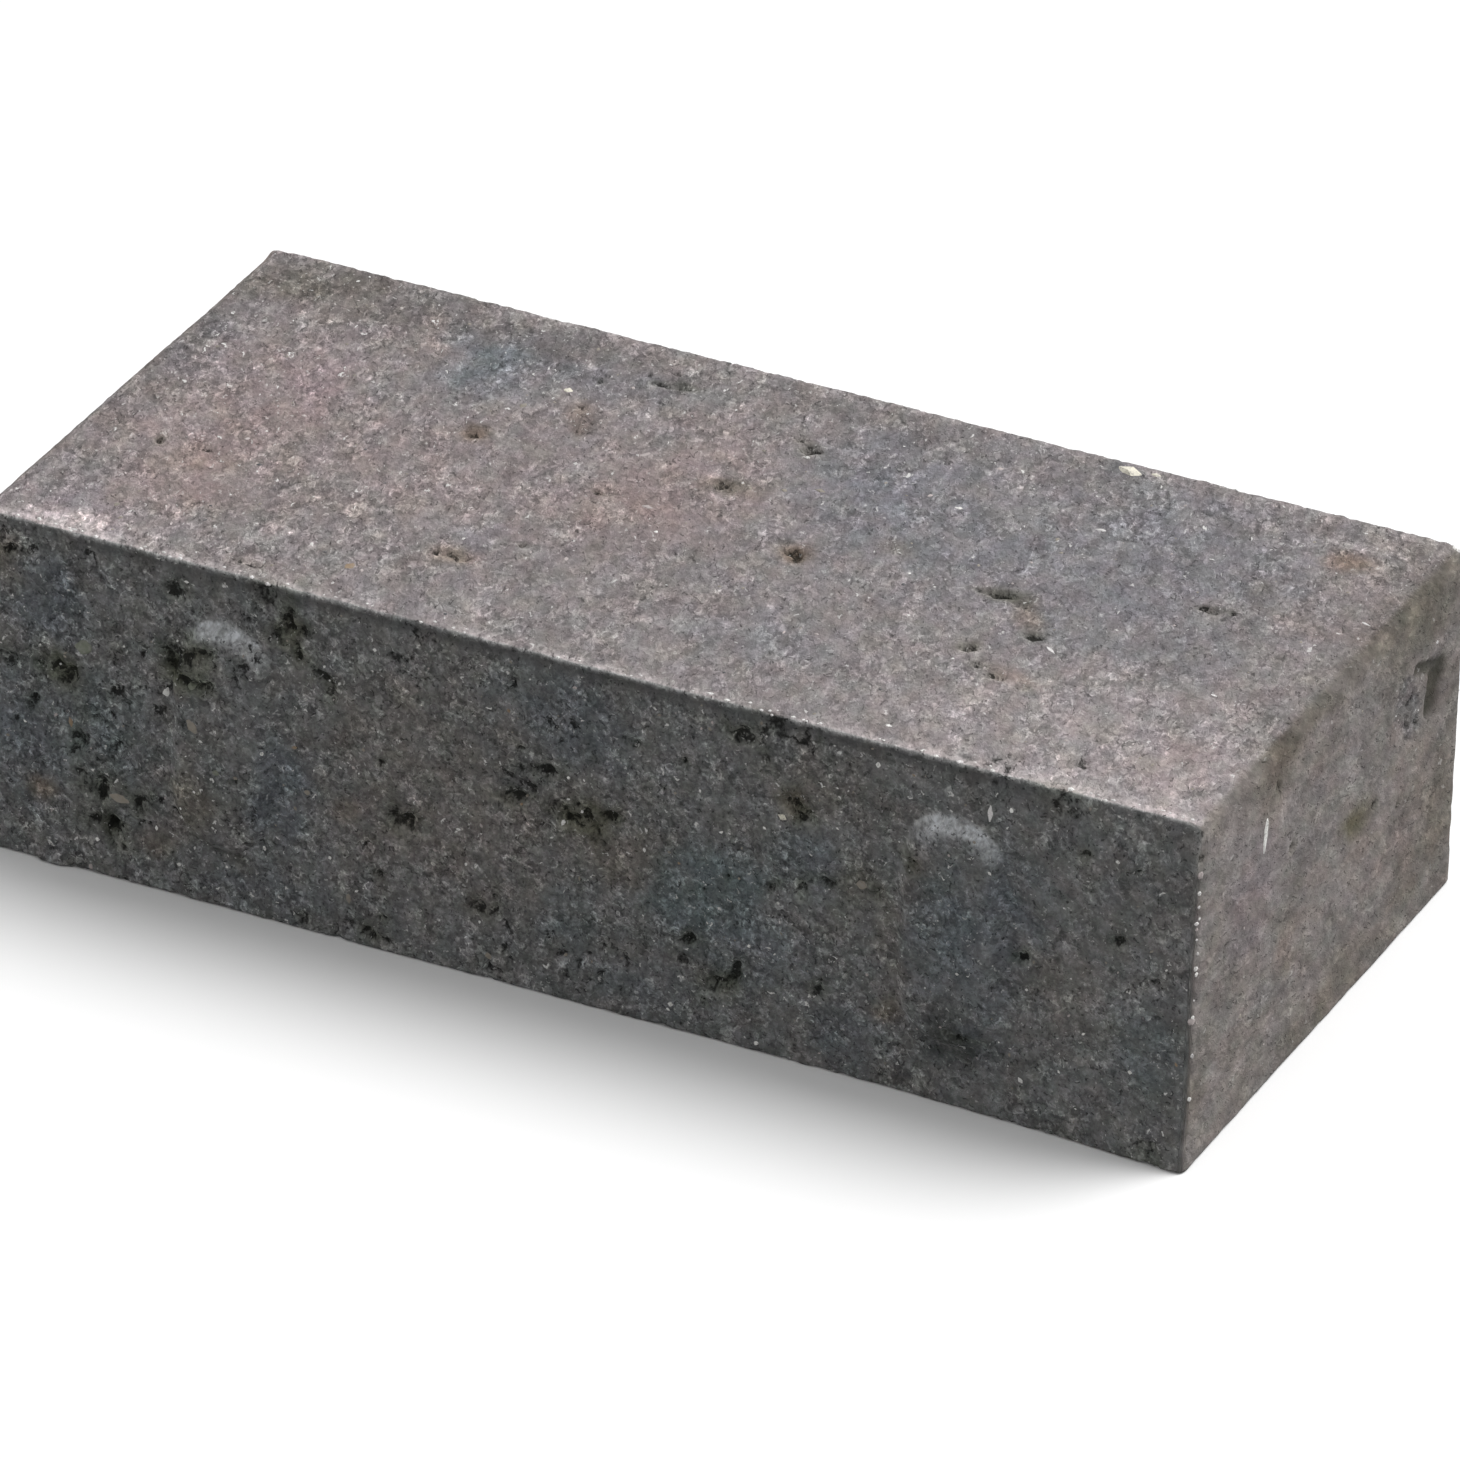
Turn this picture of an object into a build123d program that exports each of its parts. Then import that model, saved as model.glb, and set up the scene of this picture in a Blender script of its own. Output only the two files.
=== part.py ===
from build123d import *
import os

# A pressed concrete paving stone, lying on its bed face, in millimetres.
# The origin is the middle of the bed face, +X runs along the stone and +Z is up.
# The long side that faces -Y is the front.

# The block
length = 210
width = 100
height = 60

# Its edges: the wearing face's soft rims at the two ends, the tight arris that runs down, along and
# up again round each long side, and the small break round the bed face
end_rim_radius = 2.8
side_arris_radius = 1.2
bed_chamfer = 0.8

# Spacer nibs, low ribs with round ends on each long side, which keep laid stones apart
nib_width = 19
nib_relief = 1.8
nib_flank_run = 2.4
nib_crest_radius = 1
nib_root_radius = 0.8
nib_above_bed = 10
nib_below_wearing_face = 9

# Nib centres, each from the nearer end, as seen by someone who looks at that side
nib_from_left_end = 44
nib_from_right_end = 41

# Each long side as a plane to draw on, with the stone's up as its up
front_side = Plane(origin=(0, -width / 2, 0), x_dir=(1, 0, 0), z_dir=(0, -1, 0))
back_side = Plane(origin=(0, width / 2, 0), x_dir=(-1, 0, 0), z_dir=(0, 1, 0))

nib_height = height - nib_above_bed - nib_below_wearing_face
nib_mid_height = nib_above_bed + nib_height / 2
nib_centres = [
    (nib_from_left_end - length / 2, nib_mid_height),
    (length / 2 - nib_from_right_end, nib_mid_height),
]
crest_height = nib_height - 2 * nib_flank_run
crest_width = nib_width - 2 * nib_flank_run

with BuildPart() as paving_stone:
    # The stone seen from its long side, with a soft rim at each end, run through its width
    with BuildSketch(front_side):
        with Locations((0, height / 2)):
            Rectangle(length, height)
        wearing_corners = vertices().group_by(Axis.Y)[-1]
        fillet(wearing_corners, radius=end_rim_radius)
    extrude(amount=-width)

    # The arris round each long side, from the bed over the wearing face to the bed again
    long_sides = faces().sort_by(Axis.Y)
    for long_side in (long_sides[0], long_sides[-1]):
        fillet(long_side.edges().sort_by(Axis.Z)[1:], radius=side_arris_radius)
    bed_face = faces().sort_by(Axis.Z)[0]
    chamfer(bed_face.edges(), length=bed_chamfer)

    # The nibs, each lofted from its foot on the side out to its smaller crest
    for side in (front_side, back_side):
        for centre in nib_centres:
            with BuildSketch(side):
                with Locations(centre):
                    SlotOverall(nib_height, nib_width, rotation=90)
            with BuildSketch(side.offset(nib_relief)):
                with Locations(centre):
                    SlotOverall(crest_height, crest_width, rotation=90)
            loft(ruled=True)

    # Soft roots where the nibs leave their side, then soft crests
    for side in (front_side, back_side):
        outward = Axis(side.origin, side.z_dir)
        long_side = faces().filter_by(outward).group_by(SortBy.AREA)[-1].sort_by(outward)[-1]
        nib_feet = [edge for outline in long_side.inner_wires() for edge in outline.edges()]
        fillet(nib_feet, radius=nib_root_radius)
        nib_crests = edges().group_by(outward)[-1]
        fillet(nib_crests, radius=nib_crest_radius)

paving_stone.part.label = "paving_stone"

os.makedirs("parts", exist_ok=True)
export_step(paving_stone.part, "parts/paving_stone.step")
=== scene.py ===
"""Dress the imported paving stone: porous pressed skin, worn rim, nibs, set-in grains, studio and camera."""

import logging
import math
from dataclasses import dataclass, field
from enum import Enum
from itertools import product

import bpy
import numpy as np
from mathutils import Matrix, Vector


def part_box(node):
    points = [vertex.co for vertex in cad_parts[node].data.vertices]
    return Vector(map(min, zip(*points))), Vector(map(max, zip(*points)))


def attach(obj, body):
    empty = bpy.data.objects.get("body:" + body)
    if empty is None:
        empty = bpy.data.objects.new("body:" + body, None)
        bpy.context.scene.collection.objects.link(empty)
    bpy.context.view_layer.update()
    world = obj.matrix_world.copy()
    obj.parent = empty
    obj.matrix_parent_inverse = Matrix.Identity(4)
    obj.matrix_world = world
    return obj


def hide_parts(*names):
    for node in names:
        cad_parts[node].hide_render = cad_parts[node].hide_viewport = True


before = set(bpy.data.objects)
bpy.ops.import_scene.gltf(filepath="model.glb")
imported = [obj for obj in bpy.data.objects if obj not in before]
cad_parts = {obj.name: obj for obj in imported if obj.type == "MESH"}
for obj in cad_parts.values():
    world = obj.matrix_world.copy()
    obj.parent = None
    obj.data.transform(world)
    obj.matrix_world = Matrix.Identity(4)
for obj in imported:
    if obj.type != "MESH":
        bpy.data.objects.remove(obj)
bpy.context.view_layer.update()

LOG = logging.getLogger("paving_stone")
MM = 0.001
NODE = "paving_stone"
BODY = "root"
Rgb = tuple[float, float, float]

# How far in from a face's plane, in millimetres, its features and its nibs still reach
FACE_DEPTH = 4.0
NIB_DEPTH = 2.0


def ease(low: float, high: float, value: np.ndarray) -> np.ndarray:
    """Rise softly from 0 to 1.

    Args:
        low: value at which the rise starts
        high: value at which it ends, which may lie below low
        value: numbers to look up

    Returns:
        Numbers from 0 to 1, one for each value.
    """
    share = np.clip((value - low) / (high - low), 0.0, 1.0)
    return share * share * (3.0 - 2.0 * share)


class Noise:
    """Repeatable noise in space, a field of its own for each seed."""

    TABLE = 1024
    GAIN = 1.5

    def __init__(self, seed: int) -> None:
        """Draw the tables that the field is looked up in."""
        draw = np.random.default_rng(seed)
        self.order = draw.permutation(self.TABLE)
        slopes = draw.normal(size=(self.TABLE, 3))
        self.slopes = slopes / np.linalg.norm(slopes, axis=1, keepdims=True)
        self.spots = draw.uniform(size=(self.TABLE, 3))
        self.chances = draw.uniform(size=self.TABLE)

    def keys(self, cells: np.ndarray) -> np.ndarray:
        """Give each whole-numbered cell its row in the tables."""
        rows = self.order[cells[:, 0] % self.TABLE]
        rows = self.order[(rows + cells[:, 1]) % self.TABLE]
        return self.order[(rows + cells[:, 2]) % self.TABLE]

    def smooth(self, points: np.ndarray, size: float) -> np.ndarray:
        """Smooth bumps.

        Args:
            points: places in millimetres
            size: width of a bump in millimetres

        Returns:
            Heights between about -1 and 1.
        """
        spread = points / size
        low = np.floor(spread).astype(int)
        part = spread - low
        weight = part**3 * (part * (part * 6.0 - 15.0) + 10.0)
        total = np.zeros(len(points))
        for corner in product((0, 1), repeat=3):
            step = np.array(corner)
            slope = self.slopes[self.keys(low + step)]
            share = np.prod(np.where(step == 1, weight, 1.0 - weight), axis=1)
            total += share * np.einsum("ij,ij->i", slope, part - step)
        return total * self.GAIN

    def rough(self, points: np.ndarray, size: float, octaves: int) -> np.ndarray:
        """Bumps with smaller bumps on them, each octave half as wide and half as high."""
        layers = (self.smooth(points + 37.0 * i, size / 2**i) / 2**i for i in range(octaves))
        return sum(layers, np.zeros(len(points)))

    def crumbs(self, points: np.ndarray, size: float) -> tuple[np.ndarray, np.ndarray]:
        """Packed crumbs of one size.

        Args:
            points: places in millimetres
            size: distance from crumb to crumb in millimetres

        Returns:
            The distance to the nearest crumb's middle, in crumb sizes, and that crumb's own random number.
        """
        spread = points / size
        low = np.floor(spread).astype(int)
        nearest = np.full(len(points), 9.0)
        chance = np.zeros(len(points))
        for step in product((-1, 0, 1), repeat=3):
            cells = low + np.array(step)
            rows = self.keys(cells)
            gap = np.linalg.norm(spread - cells - self.spots[rows], axis=1)
            closer = gap < nearest
            nearest = np.where(closer, gap, nearest)
            chance = np.where(closer, self.chances[rows], chance)
        return nearest, chance


class Face(Enum):
    """The stone's six faces: outward direction, then across and down for someone who looks at the face."""

    TOP = ((0, 0, 1), (1, 0, 0), (0, -1, 0))
    FRONT = ((0, -1, 0), (1, 0, 0), (0, 0, -1))
    RIGHT = ((1, 0, 0), (0, 1, 0), (0, 0, -1))
    BACK = ((0, 1, 0), (-1, 0, 0), (0, 0, -1))
    LEFT = ((-1, 0, 0), (0, -1, 0), (0, 0, -1))
    BED = ((0, 0, -1), (1, 0, 0), (0, 1, 0))

    @property
    def axes(self) -> np.ndarray:
        """Rows: outward, across, down."""
        return np.array(self.value, float)


@dataclass(frozen=True)
class Nibs:
    """Spacer nibs of a long side, in millimetres, as the solid part has them."""

    width: float = 19.0
    above_bed: float = 10.0
    below_top: float = 9.0
    relief: float = 1.8
    flank: float = 2.6
    from_left: float = 44.0
    from_right: float = 41.0
    # Colour of the pale arch over a nib's upper end: rubbing, and a painted highlight.
    rub_and_highlight_tint: Rgb = (1.44, 1.47, 1.54)


@dataclass(frozen=True)
class Block:
    """The stone's plain block in millimetres, with the middle of its bed at the origin."""

    length: float
    width: float
    height: float
    nibs: Nibs = Nibs()
    corner_radius: float = 1.2
    bed_radius: float = 0.7
    side_rim: float = 0.6
    end_rim: float = 2.8
    corner_lean: float = 1.5
    foot_lean: float = 0.8

    @classmethod
    def from_frame(cls) -> "Block":
        """Read the block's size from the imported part, whose width holds the nibs too."""
        low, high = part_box(NODE)
        size = (high - low) / MM
        return cls(size.x, size.y - 2.0 * Nibs().relief, size.z)

    @property
    def middle(self) -> np.ndarray:
        """The block's middle."""
        return np.array((0.0, 0.0, self.height / 2.0))

    @property
    def half(self) -> np.ndarray:
        """Half its length, width and height."""
        return np.array((self.length, self.width, self.height)) / 2.0

    def place(self, face: Face, across: float, down: float) -> np.ndarray:
        """Find a spot on a face, measured in millimetres from its upper left corner."""
        out, right, below = face.axes
        corner = self.middle + (out - right - below) * self.half
        return corner + right * across + below * down

    def span(self, face: Face) -> tuple[float, float]:
        """How far a face reaches across and down."""
        _, right, below = face.axes
        return float(abs(right) @ self.half * 2.0), float(abs(below) @ self.half * 2.0)

    def rim_radius(self, points: np.ndarray) -> np.ndarray:
        """Rounding of the wearing face's rim, wider along the ends than along the sides."""
        to_end = self.half[0] - np.abs(points[:, 0])
        to_side = self.half[1] - np.abs(points[:, 1])
        return self.side_rim + (self.end_rim - self.side_rim) * ease(4.0, -4.0, to_end - to_side)

    def distance(self, points: np.ndarray) -> np.ndarray:
        """Signed distance to the block's rounded surface, negative inside."""
        beyond_end = np.abs(points[:, 0]) - self.half[0]
        beyond_side = np.abs(points[:, 1]) - self.half[1]
        wall = self.meet(beyond_end, beyond_side, self.corner_radius)
        upper = self.meet(wall, points[:, 2] - self.height, self.rim_radius(points))
        return self.meet(upper, -points[:, 2], self.bed_radius)

    @staticmethod
    def meet(first: np.ndarray, second: np.ndarray, radius: float | np.ndarray) -> np.ndarray:
        """Join two distances at a rounded edge of the given radius."""
        inner = np.maximum(first, second) + radius
        outer = np.hypot(np.maximum(first + radius, 0.0), np.maximum(second + radius, 0.0))
        return outer + np.minimum(inner, 0.0) - radius

    def settle(self, points: np.ndarray, rounds: int = 3) -> tuple[np.ndarray, np.ndarray]:
        """Bring points near the block onto its rounded surface.

        Args:
            points: places in millimetres, on or near the sharp block
            rounds: how often the step is repeated

        Returns:
            The places on the rounded surface and the outward directions there.
        """
        step = 0.02
        for _ in range(rounds):
            slope = self.slope(points, step)
            points = points - slope * self.distance(points)[:, None]
        return points, self.slope(points, step)

    def slope(self, points: np.ndarray, step: float) -> np.ndarray:
        """Outward direction at each point, from small steps along the three axes."""
        parts = [self.distance(points + axis) - self.distance(points - axis) for axis in np.eye(3) * step]
        slope = np.stack(parts, axis=1)
        return slope / np.maximum(np.linalg.norm(slope, axis=1, keepdims=True), 1e-9)


class Tint(Enum):
    """How a patch of the stone differs from its face's own colour, as a factor on red, green and blue."""

    BLUE = (0.76, 0.84, 0.93)
    TEAL = (0.72, 0.86, 0.90)
    SLATE = (0.80, 0.84, 0.88)
    DARK = (0.66, 0.66, 0.64)
    PINK = (1.12, 1.02, 1.01)
    WARM = (1.14, 1.02, 0.92)
    BROWN = (0.92, 0.78, 0.64)
    RUST = (1.25, 0.92, 0.62)
    OLIVE = (0.66, 0.65, 0.52)
    MOSS = (0.80, 0.79, 0.70)
    LILAC = (1.08, 1.02, 1.10)
    PALE = (1.34, 1.33, 1.33)


@dataclass(frozen=True)
class Patch:
    """A soft-edged change of colour on a face, in millimetres from its upper left corner."""

    across: float
    down: float
    wide: float
    tall: float
    tint: Tint
    strength: float = 1.0
    turn: float = 0.0


@dataclass(frozen=True)
class Rough:
    """A place on a face, in millimetres, whose skin is more open, or closer where the amount is negative."""

    across: float
    down: float
    wide: float
    tall: float
    amount: float


@dataclass(frozen=True)
class Mark:
    """A pit, or a lump where its depth is negative, on a face, in millimetres."""

    across: float
    down: float
    wide: float
    tall: float
    depth: float = 1.0
    turn: float = 0.0


@dataclass(frozen=True)
class Stroke:
    """A tapering stroke on a face, in millimetres across and down: its ends, and half its width at each."""

    start: tuple[float, float]
    end: tuple[float, float]
    half_widths: tuple[float, float]


@dataclass(frozen=True)
class Scar:
    """The scar near the back of the right end: a smooth dark hook, painted shade held by the pocket's upper
    and back walls, and the rough bluish run-out beside it.
    """

    bar: Stroke = Stroke((81.0, 12.8), (90.6, 16.6), (0.9, 1.5))
    leg: Stroke = Stroke((88.9, 18.8), (87.3, 21.4), (3.0, 2.3))
    run_out: Stroke = Stroke((77.4, 16.6), (80.2, 21.4), (3.5, 3.2))
    depth: float = 0.8
    hook_shade_tint: Rgb = (0.33, 0.345, 0.30)
    run_out_tint: Rgb = (0.92, 0.95, 1.02)


@dataclass(frozen=True)
class Grain:
    """A piece of gravel or sand that shows in the skin, in millimetres."""

    face: Face
    across: float
    down: float
    wide: float
    tall: float
    colour: Rgb
    turn: float = 0.0
    proud: float = 0.35


QUARTZ: Rgb = (0.90, 0.89, 0.86)
CHALK: Rgb = (0.78, 0.76, 0.75)
CREAM: Rgb = (0.84, 0.80, 0.68)
OCHRE: Rgb = (0.33, 0.24, 0.155)
SAND: Rgb = (0.30, 0.27, 0.225)
GREENISH: Rgb = (0.185, 0.20, 0.155)
ROSE: Rgb = (0.50, 0.44, 0.43)
BASALT: Rgb = (0.075, 0.075, 0.08)
BRIGHT_SAND: tuple[tuple[Rgb, float], ...] = (
    (QUARTZ, 0.40), (SAND, 0.24), (BASALT, 0.18), (ROSE, 0.14), (OCHRE, 0.04))
DULL_SAND: tuple[tuple[Rgb, float], ...] = ((QUARTZ, 0.10), (SAND, 0.36), (BASALT, 0.20), (ROSE, 0.34))

TOP_PATCHES: tuple[Patch, ...] = (
    Patch(48, 20, 7, 9, Tint.TEAL, 0.8),
    Patch(51, 18, 16, 13, Tint.BLUE, 0.55),
    Patch(70, 14, 15, 7, Tint.BLUE, 0.4),
    Patch(56, 12, 6, 5, Tint.DARK, 0.35),
    Patch(78, 11, 4, 3, Tint.DARK, 0.45),
    Patch(119, 22, 15, 15, Tint.BLUE, 0.6),
    Patch(135, 36, 22, 18, Tint.BLUE, 0.6),
    Patch(168, 28, 22, 22, Tint.BLUE, 0.60),
    Patch(165, 52, 26, 14, Tint.BLUE, 0.4),
    Patch(150, 10, 40, 10, Tint.BLUE, 0.25),
    Patch(127, 78, 13, 9, Tint.BLUE, 0.45),
    Patch(71, 71, 6, 7, Tint.BLUE, 0.35),
    Patch(30, 9, 42, 9, Tint.DARK, 0.70),
    Patch(12, 9, 14, 10, Tint.MOSS, 0.6),
    Patch(110, 7, 60, 7, Tint.DARK, 0.38),
    Patch(3, 34, 7, 34, Tint.DARK, 0.65),
    Patch(7, 34, 8, 12, Tint.BLUE, 0.4),
    Patch(22, 50, 18, 36, Tint.PINK, 0.9),
    Patch(34, 66, 26, 26, Tint.WARM, 0.16),
    Patch(29, 38, 6, 12, Tint.LILAC, 0.5),
    Patch(24, 70, 7, 6, Tint.WARM, 0.4),
    Patch(24, 80, 9, 8, Tint.PINK, 0.6),
    Patch(92, 42, 15, 26, Tint.PINK, 0.9),
    Patch(90, 52, 10, 14, Tint.WARM, 0.25),
    Patch(62, 58, 26, 24, Tint.PINK, 0.5),
    Patch(37, 18, 3, 8, Tint.WARM, 0.6, -20),
    Patch(178, 82, 34, 20, Tint.PALE, 0.60),
    Patch(186, 96, 26, 6, Tint.PALE, 0.50),
    Patch(18, 97, 15, 5, Tint.PALE, 1.0),
    Patch(14, 96.4, 9, 3.4, Tint.PALE, 0.7),
    Patch(13, 92, 13, 7, Tint.LILAC, 0.6),
    Patch(203, 91, 9, 12, Tint.PALE, 0.85),
    Patch(200, 84, 10, 12, Tint.PINK, 0.5),
    Patch(195, 14, 5, 4, Tint.BROWN, 0.8),
    Patch(176, 12, 3, 2.5, Tint.DARK, 0.7),
    Patch(187, 28, 2.5, 3, Tint.OLIVE, 0.6),
    Patch(132, 43, 3.5, 3, Tint.OLIVE, 0.5),
    Patch(101, 38, 6, 3, Tint.OLIVE, 0.6),
    Patch(70, 29, 2.4, 7, Tint.BROWN, 0.6, -25),
    Patch(57.5, 41, 3, 3.2, Tint.BROWN, 0.7),
    Patch(118.5, 52.5, 3.6, 3.4, Tint.BROWN, 0.9),
    Patch(154, 49.5, 5, 2.6, Tint.OLIVE, 0.6),
    Patch(159.5, 54.5, 6, 2.6, Tint.BROWN, 0.7, 45),
    Patch(165, 72, 8, 2, Tint.BROWN, 0.4, 20),
    Patch(72, 78.5, 5, 2.6, Tint.BROWN, 0.6),
    Patch(208, 34, 4, 40, Tint.MOSS, 0.35),
    Patch(209, 30, 4, 38, Tint.DARK, 0.35),
    Patch(201, 24, 10, 24, Tint.BROWN, 0.15),
    Patch(186, 40, 14, 26, Tint.SLATE, 0.35),
)
FRONT_PATCHES: tuple[Patch, ...] = (
    Patch(82, 26, 25, 20, Tint.WARM, 0.42),
    Patch(82, 40, 20, 12, Tint.PINK, 0.35),
    Patch(112, 30, 10, 7, Tint.BROWN, 0.40),
    Patch(103, 11, 13, 9, Tint.BLUE, 0.65),
    Patch(95, 22, 6, 5, Tint.SLATE, 0.8),
    Patch(96, 23, 7, 5, Tint.DARK, 0.45),
    Patch(128, 33, 15, 8, Tint.TEAL, 0.9, -30),
    Patch(135, 42, 12, 7, Tint.BLUE, 0.55, -20),
    Patch(145, 25, 6, 7, Tint.BLUE, 0.7),
    Patch(104, 46, 6, 6, Tint.TEAL, 0.5),
    Patch(124, 47, 9, 6, Tint.SLATE, 0.4),
    Patch(116, 55, 12, 5, Tint.BLUE, 0.4),
    Patch(152, 53, 9, 6, Tint.BLUE, 0.55),
    Patch(8, 38, 10, 13, Tint.BLUE, 0.7),
    Patch(13, 13, 9, 8, Tint.BLUE, 0.7),
    Patch(23, 33, 9, 10, Tint.TEAL, 0.6),
    Patch(24, 48, 6, 7, Tint.DARK, 0.45),
    Patch(54, 37, 5, 13, Tint.BLUE, 0.75),
    Patch(50, 55, 15, 5, Tint.BLUE, 0.4),
    Patch(173, 32, 10, 18, Tint.BLUE, 0.6),
    Patch(180, 20, 6, 10, Tint.BLUE, 0.5),
    Patch(170, 24, 6, 8, Tint.TEAL, 0.4),
    Patch(159.5, 35, 3.6, 13, Tint.BROWN, 0.24),
    Patch(152.5, 27, 4, 7, Tint.MOSS, 0.7, 20),
    Patch(190, 33, 10, 9, Tint.WARM, 0.30),
    Patch(203, 42, 7, 10, Tint.TEAL, 0.55),
    Patch(148, 9, 12, 7, Tint.BROWN, 0.30),
    Patch(3, 6, 6, 7, Tint.BROWN, 0.5),
    Patch(38, 42, 6, 8, Tint.WARM, 0.5),
    Patch(40, 41, 5, 6, Tint.MOSS, 0.6),
    Patch(33, 50.5, 4, 3, Tint.BROWN, 0.5),
    Patch(12, 47, 3.2, 2.6, Tint.RUST, 0.55),
    Patch(159, 46.5, 3, 2.4, Tint.RUST, 0.35),
    Patch(66, 37, 3, 3, Tint.RUST, 0.25),
    Patch(142, 15, 4, 4, Tint.BROWN, 0.6),
    Patch(163, 19, 2.4, 2.2, Tint.DARK, 0.7),
    Patch(163, 19, 2.4, 2.2, Tint.BROWN, 0.4),
    # Painted shadow under the right nib's lower end.
    Patch(170.5, 48.6, 8.8, 5.2, Tint.DARK, 0.85, -12),
    Patch(171, 48.6, 6.6, 4.2, Tint.DARK, 0.8, -12),
    Patch(171, 48.6, 9.0, 5.4, Tint.BLUE, 0.4, -12),
    # Painted shade on the underside of the left nib's lower end.
    Patch(42.8, 49.2, 6.2, 1.4, Tint.DARK, 1.0, 8),
    Patch(46, 50.0, 3.4, 0.9, Tint.DARK, 0.8, 14),
    # Painted highlight along the right nib's right flank.
    Patch(176, 27, 1.2, 8, Tint.PALE, 0.5),
    Patch(55.5, 8.5, 3.4, 5, Tint.OLIVE, 0.6),
    Patch(15, 24.5, 5, 3.6, Tint.OLIVE, 0.6),
    Patch(38, 18.5, 5, 4.4, Tint.OLIVE, 0.55),
    Patch(107, 27, 4.6, 4, Tint.OLIVE, 0.5),
    Patch(129, 48.8, 4.6, 3.6, Tint.OLIVE, 0.45),
)
END_PATCHES: tuple[Patch, ...] = (
    Patch(20, 22, 11, 13, Tint.LILAC, 0.8),
    Patch(8, 12, 12, 14, Tint.PALE, 0.2),
    Patch(47, 10, 12, 8, Tint.PINK, 0.35),
    Patch(45, 22, 9, 10, Tint.SLATE, 0.40),
    Patch(58, 12, 8, 7, Tint.SLATE, 0.35),
    Patch(27, 43, 6, 4, Tint.SLATE, 0.55),
    Patch(34, 46, 6, 4, Tint.SLATE, 0.40),
    Patch(53, 42, 7, 4, Tint.SLATE, 0.40, 25),
    Patch(64, 40, 18, 8, Tint.PINK, 0.35, 25),
    Patch(34, 38, 6, 6, Tint.BROWN, 0.28),
    Patch(50, 53, 16, 6, Tint.BROWN, 0.15),
    Patch(50, 57, 26, 4, Tint.DARK, 0.30),
    Patch(86, 40, 13, 14, Tint.BROWN, 0.14),
    Patch(88, 30, 26, 36, Tint.DARK, 0.34),
    Patch(59, 28.6, 7.2, 3.8, Tint.OLIVE, 1.0, 18),
    Patch(58.5, 28.4, 5.0, 2.6, Tint.OLIVE, 0.7, 18),
    Patch(56, 57, 30, 5, Tint.MOSS, 0.45),
    Patch(94, 44, 7, 14, Tint.MOSS, 0.7),
    Patch(81, 51, 9, 5, Tint.MOSS, 0.5),
    Patch(3, 44, 5, 8, Tint.MOSS, 0.5),
    Patch(50, 1.2, 52, 3.0, Tint.MOSS, 0.40),
    Patch(50, 0.8, 54, 3.2, Tint.DARK, 0.50),
    Patch(30, 4, 9, 7, Tint.BROWN, 0.35),
    Patch(29, 3, 8, 5, Tint.DARK, 0.55),
    Patch(82, 5, 20, 6, Tint.MOSS, 0.8),
    Patch(88, 7, 12, 5, Tint.DARK, 0.45),
    Patch(76, 13, 6, 4, Tint.DARK, 0.30, 25),
    Patch(78, 34, 16, 14, Tint.PINK, 0.25),
)
PATCHES = {Face.TOP: TOP_PATCHES, Face.FRONT: FRONT_PATCHES, Face.RIGHT: END_PATCHES}

FRONT_ROUGH: tuple[Rough, ...] = (
    Rough(22, 26, 22, 20, 0.22),
    Rough(26, 46, 10, 8, 0.20),
    Rough(38, 18, 7, 6, 0.25),
    Rough(55, 9, 5, 6, 0.25),
    Rough(100, 24, 12, 7, 0.25),
    Rough(88, 46, 10, 7, 0.15),
    Rough(129, 48, 9, 7, 0.25),
    Rough(140, 15, 6, 5, 0.15),
    Rough(76, 37, 5, 5, 0.15),
    Rough(186, 30, 30, 34, -0.22),
    Rough(180, 58, 22, 6, -0.40),
    Rough(74, 24, 14, 12, -0.12),
)

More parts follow.
